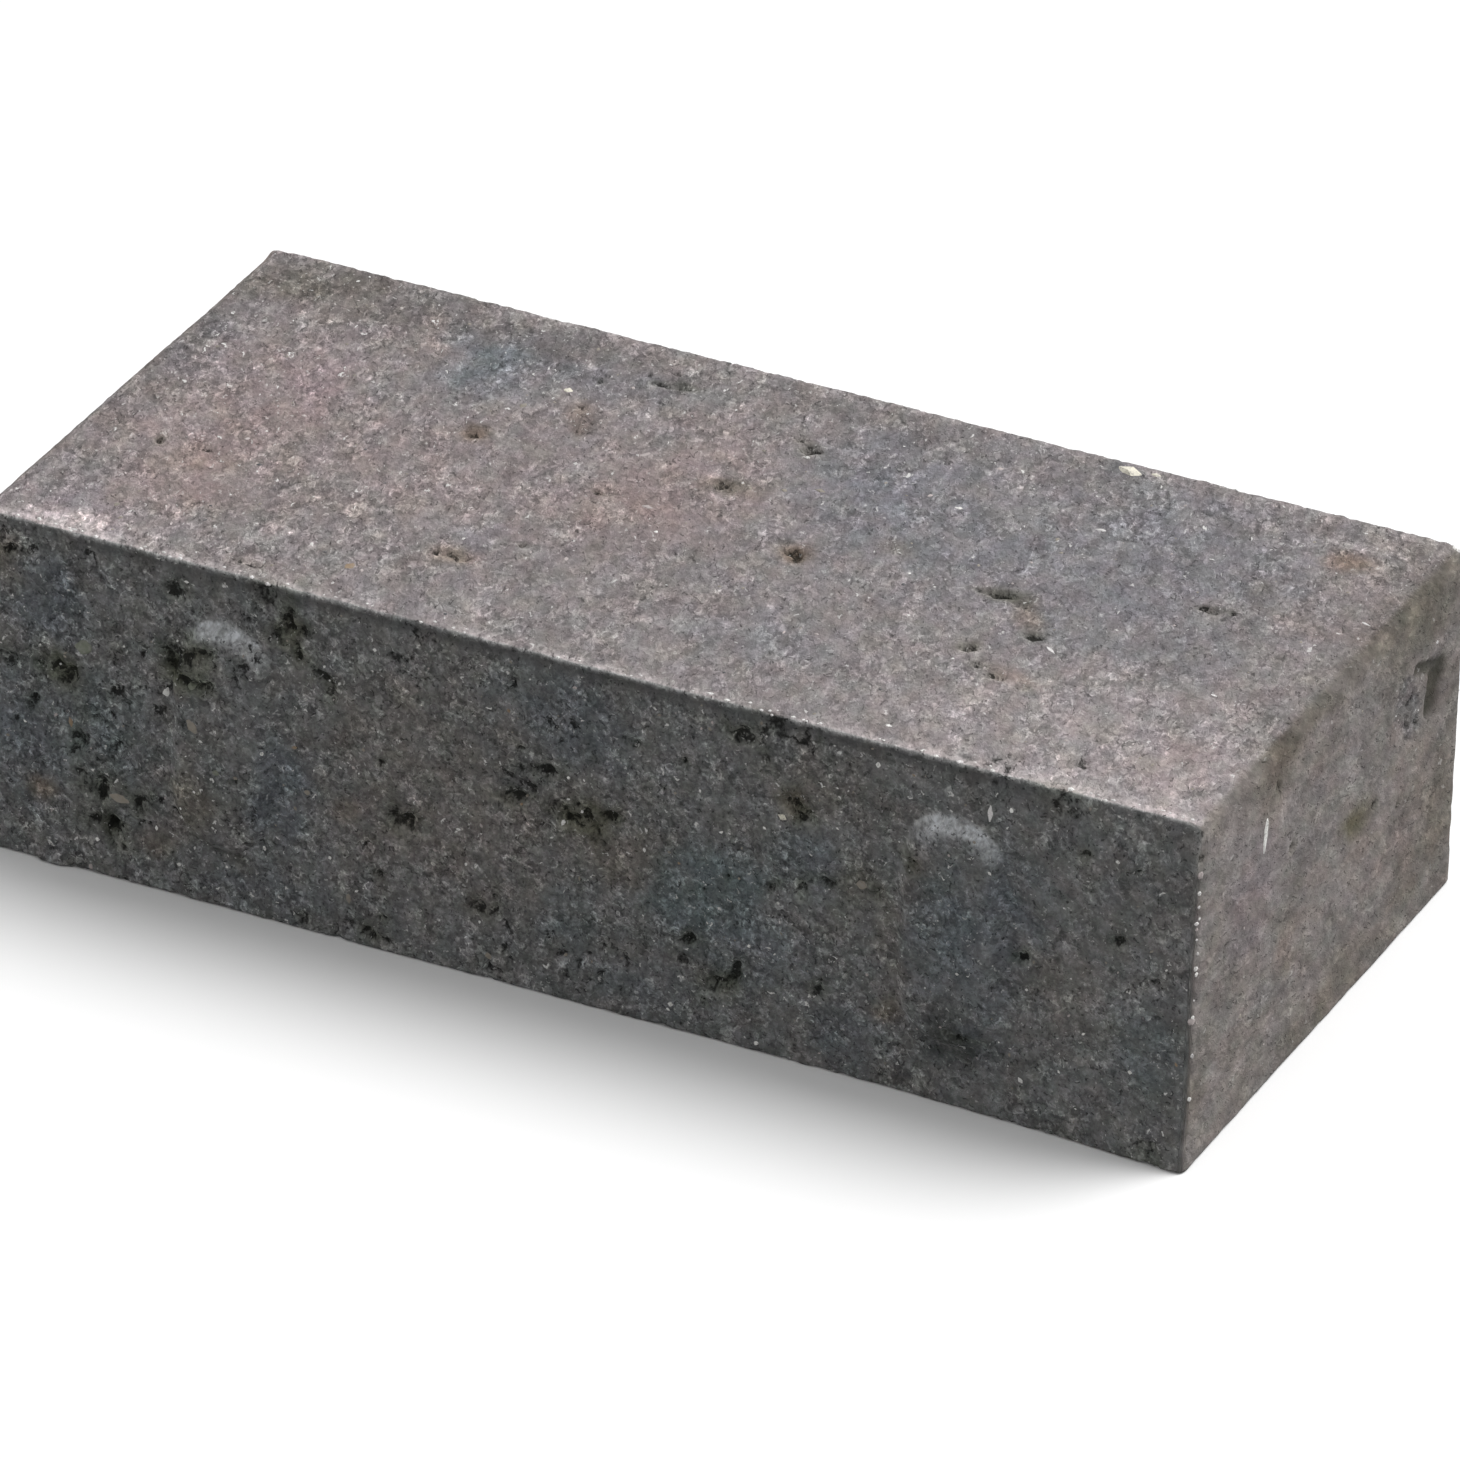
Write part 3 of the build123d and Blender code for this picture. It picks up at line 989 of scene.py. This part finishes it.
class Value:
    """A number that a shader works out, so that its maths is written as Python maths."""

    def __init__(self, graph: "Graph", socket: bpy.types.NodeSocket) -> None:
        """Wrap an output socket of a node in the graph."""
        self.graph = graph
        self.socket = socket

    def maths(self, operation: str, *others: "Value | float", clamp: bool = False) -> "Value":
        """Add a Math node with this number first."""
        inputs = dict(enumerate((self, *others)))
        node = self.graph.node("ShaderNodeMath", {"operation": operation, "use_clamp": clamp}, inputs)
        return Value(self.graph, node.outputs[0])

    def __add__(self, other: "Value | float") -> "Value":
        """Add."""
        return self.maths("ADD", other)

    __radd__ = __add__

    def __mul__(self, other: "Value | float") -> "Value":
        """Multiply."""
        return self.maths("MULTIPLY", other)

    __rmul__ = __mul__

    def __sub__(self, other: "Value | float") -> "Value":
        """Subtract."""
        return self.maths("SUBTRACT", other)

    def __rsub__(self, other: float) -> "Value":
        """Subtract from a plain number."""
        return (self * -1.0) + other

    def clamped(self) -> "Value":
        """Keep between 0 and 1."""
        return self.maths("ADD", 0.0, clamp=True)

    def rise(self, low: float, high: float) -> "Value":
        """Rise softly from 0 at low to 1 at high."""
        settings = {"interpolation_type": "SMOOTHSTEP"}
        inputs = {"Value": self, "From Min": low, "From Max": high}
        if low > high:
            inputs.update({"From Min": high, "From Max": low, "To Min": 1.0, "To Max": 0.0})
        node = self.graph.node("ShaderNodeMapRange", settings, inputs)
        return Value(self.graph, node.outputs["Result"])


class Graph:
    """The nodes of a material or of the world."""

    def __init__(self, owner: bpy.types.Material | bpy.types.World,
                 output: str = "ShaderNodeOutputMaterial") -> None:
        """Clear the owner's nodes and add its output."""
        self.owner = owner
        self.owner.use_nodes = True
        self.tree = self.owner.node_tree
        self.tree.nodes.clear()
        self.output = self.node(output, {}, {})

    def node(self, kind: str, settings: dict[str, object], inputs: dict[object, object]) -> bpy.types.Node:
        """Add a node.

        Args:
            kind: the node's type name
            settings: its own properties, set first
            inputs: values, sockets or Values for its input sockets, by name or number

        Returns:
            The new node.
        """
        made = self.tree.nodes.new(kind)
        for key, setting in settings.items():
            setattr(made, key, setting)
        for key, given in inputs.items():
            socket = made.inputs[key]
            source = given.socket if isinstance(given, Value) else given
            if isinstance(source, bpy.types.NodeSocket):
                self.tree.links.new(source, socket)
            else:
                socket.default_value = source
        return made

    def attribute(self, name: str) -> bpy.types.NodeSocketColor:
        """Read a colour that the mesh carries."""
        return self.node("ShaderNodeAttribute", {"attribute_name": name}, {}).outputs["Color"]

    def number(self, name: str) -> Value:
        """Read a number that the mesh carries."""
        return Value(self, self.node("ShaderNodeAttribute", {"attribute_name": name}, {}).outputs["Fac"])

    def noise(self, where: bpy.types.NodeSocket, size: float, detail: float,
              roughness: float = 0.55) -> Value:
        """Noise from 0 to 1 whose bumps are size millimetres wide."""
        inputs = {"Vector": where, "Scale": 1.0 / size, "Detail": detail, "Roughness": roughness}
        return Value(self, self.node("ShaderNodeTexNoise", {}, inputs).outputs["Fac"])

    def cells(self, where: bpy.types.NodeSocket, size: float) -> tuple[Value, Value, Value]:
        """Cells of one size: distance from a cell's middle, in cells, and two random numbers of the cell."""
        node = self.node("ShaderNodeTexVoronoi", {}, {"Vector": where, "Scale": 1.0 / size})
        parts = self.node("ShaderNodeSeparateColor", {}, {"Color": node.outputs["Color"]})
        sockets = (node.outputs["Distance"], parts.outputs[0], parts.outputs[1])
        return tuple(Value(self, socket) for socket in sockets)

    def bent(self, where: bpy.types.NodeSocket, size: float, reach: float) -> bpy.types.NodeSocket:
        """Shift places about, so that what is laid over them loses its regular outlines.

        Args:
            where: the places in millimetres
            size: width of a shift's bumps in millimetres
            reach: how far the shift goes, in millimetres

        Returns:
            The shifted places.
        """
        stir = self.node("ShaderNodeTexNoise", {}, {"Vector": where, "Scale": 1.0 / size, "Detail": 2.0})
        middle = {0: stir.outputs["Color"], 1: (0.5, 0.5, 0.5)}
        centred = self.node("ShaderNodeVectorMath", {"operation": "SUBTRACT"}, middle)
        spread = self.scaled(centred.outputs[0], 4.0 * reach)
        return self.node("ShaderNodeVectorMath", {}, {0: where, 1: spread}).outputs[0]

    def blend(self, mode: str, share: Value | float, first: object, second: object) -> bpy.types.NodeSocket:
        """Mix two colours."""
        settings = {"data_type": "RGBA", "blend_type": mode}
        first = (*first, 1.0) if isinstance(first, tuple) else first
        second = (*second, 1.0) if isinstance(second, tuple) else second
        return self.node("ShaderNodeMix", settings, {0: share, 6: first, 7: second}).outputs[2]

    def scaled(self, vector: bpy.types.NodeSocket, factor: Value | float) -> bpy.types.NodeSocket:
        """Multiply a place by a factor, or make a colour lighter or darker by it."""
        node = self.node("ShaderNodeVectorMath", {"operation": "SCALE"}, {0: vector, "Scale": factor})
        return node.outputs[0]

    def parts(self, where: bpy.types.NodeSocket) -> tuple[Value, Value, Value]:
        """Take a place apart."""
        node = self.node("ShaderNodeSeparateXYZ", {}, {0: where})
        return tuple(Value(self, socket) for socket in node.outputs)

    def place(self, *parts: Value) -> bpy.types.NodeSocket:
        """Put a place together."""
        return self.node("ShaderNodeCombineXYZ", {}, dict(enumerate(parts))).outputs[0]

    def seen(self) -> Value:
        """One where a ray comes from the camera, a mirror or glass, else nought."""
        path = self.node("ShaderNodeLightPath", {}, {})
        camera, glossy, through = (Value(self, path.outputs[f"Is {kind} Ray"])
                                   for kind in ("Camera", "Glossy", "Transmission"))
        return (camera + glossy + through).clamped()

    def millimetres(self) -> bpy.types.NodeSocket:
        """The point's place on the object, in millimetres."""
        return self.scaled(self.node("ShaderNodeTexCoord", {}, {}).outputs["Object"], 1.0 / MM)

    def finish(self, shader: bpy.types.Node) -> bpy.types.Material | bpy.types.World:
        """Send a shader to the output."""
        self.tree.links.new(shader.outputs[0], self.output.inputs["Surface"])
        return self.owner


@dataclass(frozen=True)
class SkinSigns:
    """What the concrete's finish goes by at each point: carried numbers, noises, and two sizes of crumbs."""

    tint: bpy.types.NodeSocket
    cavity_shade: Value
    wear_and_highlight: Value
    openness: Value
    contrast: Value
    mottling: Value
    grit: Value
    lumps: Value
    mottle: Value
    busy: Value
    cloud: Value
    near: Value
    tone: Value
    pick: Value
    fine_near: Value
    fine_tone: Value
    fine_pick: Value


@dataclass(frozen=True)
class ConcreteFinish:
    """Pressed concrete: cloudy cement paste with sand in it, pores and a few bright grains, with painted
    shade in its hollows and pores and painted glints on its crumbs.
    """

    block: Block
    across_lean: float = 0.20
    across_scale: float = 0.60
    end_lean: float = 0.42
    end_scale: float = 0.18
    grit_size: float = 0.62
    lump_size: float = 1.45
    mottle_size: float = 3.2
    busy_size: float = 6.5
    cloud_size: float = 8.0
    crumb_size: float = 1.05
    sand_size: float = 0.58
    bump_depth: float = 0.34
    cool: Rgb = (0.980, 1.002, 1.018)
    warm: Rgb = (1.022, 0.999, 0.978)
    green: Rgb = (0.984, 1.014, 0.990)
    mauve: Rgb = (1.012, 0.988, 1.008)
    quartz: Rgb = (0.85, 0.84, 0.82)
    shade: Rgb = (0.10, 0.10, 0.095)

    def grain_places(self, graph: Graph) -> bpy.types.NodeSocket:
        """Places in millimetres at which the grain is looked up.

        Args:
            graph: the material's nodes

        Returns:
            Places drawn out a little across the stone and aslant down its right end, as the grain lies.
        """
        length, width, height = graph.parts(graph.millimetres())
        below = (self.block.height - height) * graph.number("end")
        from_front = width + self.block.width / 2.0
        return graph.place(length + from_front * self.across_lean,
                           from_front * self.across_scale - below * self.end_lean,
                           height + below * self.end_scale)

    def material(self) -> bpy.types.Material:
        """Make the material, which reads the numbers that the skin carries."""
        graph = Graph(bpy.data.materials.new("pressed_concrete"))
        where = self.grain_places(graph)
        bent = graph.bent(where, 1.1, 0.6)
        signs = self.read(graph, where, bent)
        # Painted shade in the gaps between crumbs; the glint lines below are painted highlights.
        gaps = signs.near.rise(0.46, 0.76)
        curl = self.vein(graph, bent, 2.3, 0.030, 0.004) * signs.fine_tone.rise(0.35, 0.65)
        glint = self.vein(graph, bent, 1.9, 0.034, 0.006) * signs.tone.rise(0.42, 0.72)
        pore, hollow_shade = self.hollows(signs)
        fleck, spark = self.bright_grains(signs)

        colour = self.paste(graph, signs, glint * 0.30 - gaps * 0.12 - curl * 0.16)
        colour = self.tinged(graph, colour, where, bent)
        # Pale where worn, and where a highlight is painted.
        paling = (signs.wear_and_highlight * (signs.grit * 2.4 + signs.lumps * 1.2 + signs.tone * 0.4 - 0.95)).clamped()
        pale = graph.scaled(signs.tint, 2.35 + 0.5 * (signs.fine_tone - 0.5))
        colour = graph.blend("MIX", paling * 0.95, colour, pale)
        # Painted shade in the pores and hollows.
        colour = graph.blend("MULTIPLY", hollow_shade * 0.88, colour, self.shade)
        colour = graph.blend("MIX", fleck * 0.85, colour, self.quartz)
        colour = graph.blend("MIX", spark, colour, self.quartz)

        grain = signs.lumps * 1.5 + signs.grit * 0.60 + signs.mottle * 0.6 + signs.tone * 0.2
        detail = fleck * 0.2 + glint * 0.15 - gaps * 0.22 - curl * 0.2 - pore * 0.9
        height = (grain + detail) * graph.number("bumps") - hollow_shade * 0.6
        inputs = {"Strength": 0.95, "Distance": self.bump_depth * MM, "Height": height}
        bump = graph.node("ShaderNodeBump", {}, inputs)
        settings = {"Base Color": colour, "Roughness": 0.95 - fleck * 0.35, "Diffuse Roughness": 0.8,
                    "Specular IOR Level": 0.22, "Normal": bump.outputs[0]}
        return graph.finish(graph.node("ShaderNodeBsdfPrincipled", {}, settings))

    def read(self, graph: Graph, where: bpy.types.NodeSocket, bent: bpy.types.NodeSocket) -> SkinSigns:
        """Read what the skin carries and look the grain up.

        Args:
            graph: the material's nodes
            where: places in millimetres
            bent: the same places shifted about

        Returns:
            All that the finish goes by.
        """
        carried = (graph.number(name) for name in ("cavity_shade", "wear_and_highlight", "open", "contrast", "mottling"))
        grit = graph.noise(where, self.grit_size, 2.0, 0.6)
        lumps = graph.noise(bent, self.lump_size, 1.5, 0.55)
        mottle = graph.noise(where, self.mottle_size, 2.0, 0.6)
        busy = graph.noise(where, self.busy_size, 1.0).rise(0.36, 0.64)
        cloud = graph.noise(where, self.cloud_size, 1.0)
        crumbs = graph.cells(bent, self.crumb_size)
        sand = graph.cells(bent, self.sand_size)
        return SkinSigns(graph.attribute("tint"), *carried, grit, lumps, mottle, busy, cloud, *crumbs, *sand)

    @staticmethod
    def vein(graph: Graph, bent: bpy.types.NodeSocket, size: float, edge: float, core: float) -> Value:
        """Thin curling lines where a noise crosses its middle, from one at the core to nought at the edge."""
        return (graph.noise(bent, size, 1.0) - 0.5).maths("ABSOLUTE").rise(edge, core)

    @staticmethod
    def paste(graph: Graph, signs: SkinSigns, lines: Value) -> bpy.types.NodeSocket:
        """Colour the cement paste and the sand in it.

        Args:
            graph: the material's nodes
            signs: what the finish goes by
            lines: how much lighter or darker the lines between the crumbs are: painted shade in the gaps and
                painted highlights on the glints

        Returns:
            The skin's tint, lighter and darker by its grain and its broad mottling.
        """
        coarse = (signs.lumps - 0.5) * 1.20 + (signs.tone - 0.5) * 0.30
        fine = (signs.fine_tone - 0.5) * 0.34 + (signs.grit - 0.5) * 0.85
        sand = (coarse + fine + lines) * (signs.contrast * (signs.busy * 0.55 + 0.62))
        mottle = (signs.mottle - 0.5) * (signs.contrast * 0.25 + signs.mottling * 0.50)
        cloud = (signs.cloud - 0.5) * signs.mottling * 0.22
        brightness = (sand + mottle + cloud - 0.02).maths("EXPONENT")
        return graph.scaled(signs.tint, brightness.maths("MAXIMUM", 0.16))

    @staticmethod
    def hollows(signs: SkinSigns) -> tuple[Value, Value]:
        """Find the small pores, and all the hollows with them, by how much painted shade each gets."""
        pore = signs.fine_near.rise(0.52, 0.26) * signs.fine_pick.rise(0.87, 0.93)
        pore = pore * (signs.openness * 0.6 + 0.45)
        broken = signs.cavity_shade * 1.05 - (signs.lumps - 0.5) * 2.40
        broken = broken - (signs.grit - 0.5) * 0.80 - (signs.tone - 0.5) * 0.50
        hollow_shade = (broken.rise(0.32, 1.05) * signs.cavity_shade.rise(0.03, 0.25) + pore).clamped()
        return pore, hollow_shade

    @staticmethod
    def bright_grains(signs: SkinSigns) -> tuple[Value, Value]:
        """Find the larger bright grains and the small sparks, fewer where the skin is calm."""
        busy_skin = signs.contrast.rise(0.70, 1.30)
        fleck = signs.near.rise(0.34, 0.20) * signs.pick.rise(0.945, 0.955) * (1.0 - signs.cavity_shade).clamped()
        fleck = fleck * signs.fine_tone.rise(0.30, 0.50) * (busy_skin * 0.75 + 0.25)
        spark = signs.fine_near.rise(0.40, 0.22) * signs.fine_pick.rise(0.80, 0.74)
        spark = spark * signs.fine_tone.rise(0.86, 0.93) * signs.contrast.clamped()
        return fleck, spark * (busy_skin * 0.34 + 0.08)

    def tinged(self, graph: Graph, colour: bpy.types.NodeSocket, where: bpy.types.NodeSocket,
               bent: bpy.types.NodeSocket) -> bpy.types.NodeSocket:
        """Vary a colour faintly.

        Args:
            graph: the material's nodes
            colour: the colour to vary
            where: places at which cool and warm are looked up
            bent: places at which green and mauve are looked up

        Returns:
            The varied colour.
        """
        warmth = graph.noise(where, 4.6, 1.5, 0.5)
        moss = graph.noise(bent, 3.4, 1.0, 0.5)
        steps = ((warmth, 0.36, self.cool), (warmth, 0.64, self.warm),
                 (moss, 0.34, self.green), (moss, 0.66, self.mauve))
        for number, full, factor in steps:
            colour = graph.blend("MULTIPLY", number.rise(0.50, full), colour, factor)
        return colour


@dataclass(frozen=True)
class GrainFinish:
    """Single sand and gravel grains: each has its own colour, faintly cloudy and slightly shiny."""

    dust: Rgb = (0.24, 0.225, 0.22)

    def material(self) -> bpy.types.Material:
        """Make the material, which reads each grain's tint."""
        graph = Graph(bpy.data.materials.new("bare_grains"))
        where = graph.millimetres()
        cloud = graph.noise(where, 0.5, 3.0)
        colour = graph.scaled(graph.attribute("tint"), 0.72 + cloud * 0.5)
        colour = graph.blend("MIX", cloud.rise(0.50, 0.64) * 0.55, colour, self.dust)
        bump = graph.node("ShaderNodeBump", {}, {"Strength": 0.5, "Distance": 0.08 * MM, "Height": cloud})
        settings = {"Base Color": colour, "Roughness": 0.8 - cloud * 0.3, "Normal": bump.outputs[0]}
        return graph.finish(graph.node("ShaderNodeBsdfPrincipled", {}, settings))


def new_object(name: str, points: np.ndarray, faces: np.ndarray) -> bpy.types.Object:
    """Make a mesh object with smooth shading.

    Args:
        name: name of the object and its mesh
        points: places in millimetres
        faces: point numbers, three or four to a row

    Returns:
        The object, linked to the scene.
    """
    mesh = bpy.data.meshes.new(name)
    mesh.from_pydata((points * MM).tolist(), [], faces.tolist())
    mesh.validate()
    mesh.shade_smooth()
    made = bpy.data.objects.new(name, mesh)
    bpy.context.scene.collection.objects.link(made)
    return made


def carry(mesh: bpy.types.Mesh, name: str, values: np.ndarray) -> None:
    """Store one number, or one colour, for each point of a mesh."""
    if values.ndim == 1:
        mesh.attributes.new(name, "FLOAT", "POINT").data.foreach_set("value", values.astype(np.float32))
        return
    colours = np.concatenate([values, np.ones((len(values), 1))], axis=1).astype(np.float32)
    mesh.attributes.new(name, "FLOAT_COLOR", "POINT").data.foreach_set("color", colours.ravel())


@dataclass
class PavingStone:
    """The pressed stone itself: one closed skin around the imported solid."""

    block: Block
    spacing: float = 0.56
    most_triangles: int = 196_000

    def build(self) -> bpy.types.Object:
        """Build the carved skin, thin it to its triangle budget and dress it."""
        points, quads = Lattice(self.block, self.spacing).build()
        points, normals = self.block.settle(points)
        relief = Relief(self.block, points, normals)
        relief.carve()
        skin = new_object("stone_skin", relief.places, quads)
        carried = {"cavity_shade": relief.cavity_shade, "wear_and_highlight": relief.wear_and_highlight, "open": relief.blend("openness"),
                   "contrast": relief.contrast, "mottling": relief.blend("mottling"),
                   "bumps": relief.blend("bumps"), "end": relief.shares[Face.RIGHT], "tint": relief.tint}
        for name, values in carried.items():
            carry(skin.data, name, values)
        self.thin(skin, 2 * len(quads))
        skin.data.materials.append(ConcreteFinish(self.block).material())
        return skin

    def thin(self, skin: bpy.types.Object, triangles: int) -> None:
        """Merge faces where the skin is flattest until the triangle budget is kept."""
        if triangles <= self.most_triangles:
            return
        thinner = skin.modifiers.new("thin", "DECIMATE")
        thinner.ratio = self.most_triangles / triangles
        graph = bpy.context.evaluated_depsgraph_get()
        full = skin.data
        skin_mesh = bpy.data.meshes.new_from_object(skin.evaluated_get(graph))
        skin.modifiers.clear()
        skin.data = skin_mesh
        bpy.data.meshes.remove(full)
        skin_mesh.name = skin.name


@dataclass
class BareGrains:
    """Grains of sand and gravel that show in the skin: those that stand out, and many small random ones."""

    block: Block
    random_count: int = 900
    on_ends: float = 0.25
    rim_count: int = 70
    corner_count: int = 15
    seed: int = 9

    def random_grains(self) -> list[Grain]:
        """Draw small grains for all faces, more on the rougher ones."""
        draw = np.random.default_rng(self.seed)
        ends = (Face.RIGHT, Face.LEFT)
        areas = {face: math.prod(self.block.span(face)) * (0.5 + SKINS[face].openness) for face in Face}
        for face in ends:
            areas[face] *= self.on_ends
        total = sum(areas.values())
        grains = []
        for face, area in areas.items():
            wide, tall = self.block.span(face)
            inset = 1.5 if face in (Face.FRONT, Face.BACK) else 6.0
            kinds = DULL_SAND if face in (*ends, Face.TOP) else BRIGHT_SAND
            for _ in range(round(self.random_count * area / total)):
                colour = kinds[draw.choice(len(kinds), p=[share for _, share in kinds])][0]
                size = min(0.16 + draw.gamma(2.0, 0.08), 0.9)
                grains.append(Grain(face, draw.uniform(inset, wide - inset), draw.uniform(1.5, tall - 1.0),
                                    size * draw.uniform(0.8, 1.5), size * draw.uniform(0.7, 1.1),
                                    colour, draw.uniform(-90, 90), 0.3))
        return grains + self.edge_grains(draw)

    def edge_grains(self, draw: np.random.Generator) -> list[Grain]:
        """Draw the bright grains that the worn upright corners and the front rim lay bare."""
        grains = []
        for face in (Face.FRONT, Face.RIGHT, Face.BACK, Face.LEFT):
            _, tall = self.block.span(face)
            for down in draw.uniform(8.0, tall - 1.0, size=self.corner_count):
                size = min(0.16 + draw.gamma(1.6, 0.14), 0.8)
                colour = (QUARTZ, CHALK, ROSE)[draw.integers(3)]
                grains.append(Grain(face, draw.uniform(0.0, 0.9), down, size, size * 1.2, colour, 0.0, 0.35))
        wide, tall = self.block.span(Face.TOP)
        for across in draw.uniform(2.0, wide - 2.0, size=self.rim_count):
            size = min(0.16 + draw.gamma(2.0, 0.08), 0.5)
            down = tall - draw.uniform(0.3, 1.6)
            colour = (QUARTZ, CHALK)[draw.integers(2)]
            grains.append(Grain(Face.TOP, across, down, size * 1.3, size, colour, 0.0, 0.25))
        return grains

    def ball(self) -> tuple[np.ndarray, np.ndarray]:
        """Points and triangles of a small ball with twenty faces, cut once more."""
        golden = (1.0 + math.sqrt(5.0)) / 2.0
        corners = [(0.0, a, b * golden) for a in (-1, 1) for b in (-1, 1)]
        points = np.array([tuple(np.roll(corner, turn)) for turn in range(3) for corner in corners])
        points /= np.linalg.norm(points[0])
        gaps = np.linalg.norm(points[:, None] - points[None], axis=2)
        side = gaps[gaps > 0.01].min() * 1.01
        near = (gaps < side) & (gaps > 0.01)
        faces = [(i, j, k) for i in range(12) for j in range(i + 1, 12) for k in range(j + 1, 12)
                 if near[i, j] and near[j, k] and near[i, k]]
        outward = []
        for i, j, k in faces:
            turn = np.cross(points[j] - points[i], points[k] - points[i]) @ points[i]
            outward.append((i, j, k) if turn > 0 else (i, k, j))
        return points, np.array(outward)

    def build(self) -> bpy.types.Object:
        """Set every grain into the skin, as one mesh."""
        grains = list(GRAINS) + self.random_grains()
        spots = np.array([self.block.place(grain.face, grain.across, grain.down) for grain in grains])
        spots, normals = self.block.settle(spots)
        relief = Relief(self.block, spots, normals)
        relief.carve()
        seats = relief.places
        ball, triangles = self.ball()
        draw = np.random.default_rng(self.seed + 1)
        points, faces, tints = [], [], []
        for number, (grain, seat, normal) in enumerate(zip(grains, seats, normals)):
            _, right, _ = grain.face.axes
            across = right - normal * (right @ normal)
            across /= np.linalg.norm(across)
            down = np.cross(across, normal)
            cos, sin = math.cos(math.radians(grain.turn)), math.sin(math.radians(grain.turn))
            first, second = across * cos + down * sin, down * cos - across * sin
            small = min(grain.wide, grain.tall)
            shape = ball * draw.uniform(0.82, 1.12, size=(len(ball), 1))
            placed = (shape[:, :1] * first * grain.wide + shape[:, 1:2] * second * grain.tall
                      + shape[:, 2:] * normal * small * 0.8)
            points.append(placed + seat + normal * small * 0.8 * (grain.proud - 0.75))
            faces.append(triangles + number * len(ball))
            tints.append(np.tile(np.array(grain.colour) * draw.uniform(0.8, 1.15), (len(ball), 1)))
        made = new_object("bare_grains", np.concatenate(points), np.concatenate(faces))
        made.data.shade_flat()
        carry(made.data, "tint", np.concatenate(tints))
        made.data.materials.append(GrainFinish().material())
        return made


@dataclass(frozen=True)
class Studio:
    """A pale floor under plain soft light: one broad lamp above, right and behind, and an even sky."""

    floor_size: float = 14.0
    floor_seen: Rgb = (1.0, 1.0, 1.0)
    floor_lighting: Rgb = (0.34, 0.34, 0.34)
    sky: float = 0.50
    lamp_from: tuple[float, float, float] = (1.2, 0.75, 2.35)
    lamp_size: float = 1.5
    lamp_watts: float = 60.0

    def build(self) -> bpy.types.Object:
        """Make the floor, the sky and the lamp."""
        half = self.floor_size / 2.0 / MM
        corners = np.array([(-half, -half, 0), (half, -half, 0), (half, half, 0), (-half, half, 0)], float)
        floor = new_object("floor", corners, np.array([[0, 1, 2, 3]]))
        graph = Graph(bpy.data.materials.new("pale_floor"))
        colour = graph.blend("MIX", graph.seen(), self.floor_lighting, self.floor_seen)
        settings = {"Base Color": colour, "Roughness": 0.95, "Specular IOR Level": 0.1}
        floor.data.materials.append(graph.finish(graph.node("ShaderNodeBsdfPrincipled", {}, settings)))
        self.light_sky()
        self.hang_lamp()
        return floor

    def light_sky(self) -> None:
        """Give the world an even light, and white where it is seen."""
        world = bpy.data.worlds.new("studio")
        bpy.context.scene.world = world
        graph = Graph(world, "ShaderNodeOutputWorld")
        strength = graph.seen() * (1.0 - self.sky) + self.sky
        graph.finish(graph.node("ShaderNodeBackground", {}, {"Color": (1.0,) * 4, "Strength": strength}))

    def hang_lamp(self) -> None:
        """Hang the broad lamp, aimed at the stone."""
        data = bpy.data.lights.new("soft_lamp", "AREA")
        data.shape = "DISK"
        data.size = self.lamp_size
        data.energy = self.lamp_watts
        lamp = bpy.data.objects.new("soft_lamp", data)
        lamp.location = self.lamp_from
        lamp.rotation_euler = (-Vector(self.lamp_from)).to_track_quat("-Z", "Y").to_euler()
        bpy.context.scene.collection.objects.link(lamp)


@dataclass(frozen=True)
class PhotoCamera:
    """The photograph's view, found from the stone's edges: it looks at a point in the stone from far off."""

    azimuth: float = 24.98
    elevation: float = 29.39
    roll: float = -1.77
    distance: float = 2276.0
    aim: tuple[float, float, float] = (3.1, -1.5, 25.2)
    lens: float = 358.6
    sensor: float = 36.0

    def build(self) -> bpy.types.Object:
        """Make the camera and use it."""
        turn, lift, roll = (math.radians(angle) for angle in (self.azimuth, self.elevation, self.roll))
        back = Vector((math.sin(turn) * math.cos(lift), -math.cos(turn) * math.cos(lift), math.sin(lift)))
        level = Vector((0, 0, 1)).cross(back).normalized()
        below = level.cross(back)
        right = level * math.cos(roll) + below * math.sin(roll)
        upward = back.cross(right)
        data = bpy.data.cameras.new("photo_view")
        data.lens = self.lens
        data.sensor_width = self.sensor
        data.clip_end = 50.0
        camera = bpy.data.objects.new("photo_view", data)
        place = (Vector(self.aim) + back * self.distance) * MM
        camera.matrix_world = Matrix.Translation(place) @ Matrix((right, upward, back)).transposed().to_4x4()
        bpy.context.scene.collection.objects.link(camera)
        bpy.context.scene.camera = camera
        return camera


def fit(piece: bpy.types.Object, *nodes: str) -> None:
    """Make a piece ride on the stone's one body, and stand for its solids."""
    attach(piece, BODY)
    if nodes:
        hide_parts(*nodes)
    LOG.info("%s: %d points, %d faces", piece.name, len(piece.data.vertices), len(piece.data.polygons))


def main() -> None:
    """Build the stone's pieces, then the studio and the camera."""
    logging.basicConfig(level=logging.INFO, format="%(message)s")
    block = Block.from_frame()
    LOG.info("block: %.1f x %.1f x %.1f mm", block.length, block.width, block.height)
    fit(PavingStone(block).build(), NODE)
    fit(BareGrains(block).build())
    Studio().build()
    PhotoCamera().build()
    bpy.context.scene.view_settings.view_transform = "Standard"
    bpy.context.view_layer.update()


if __name__ == "__main__":
    main()
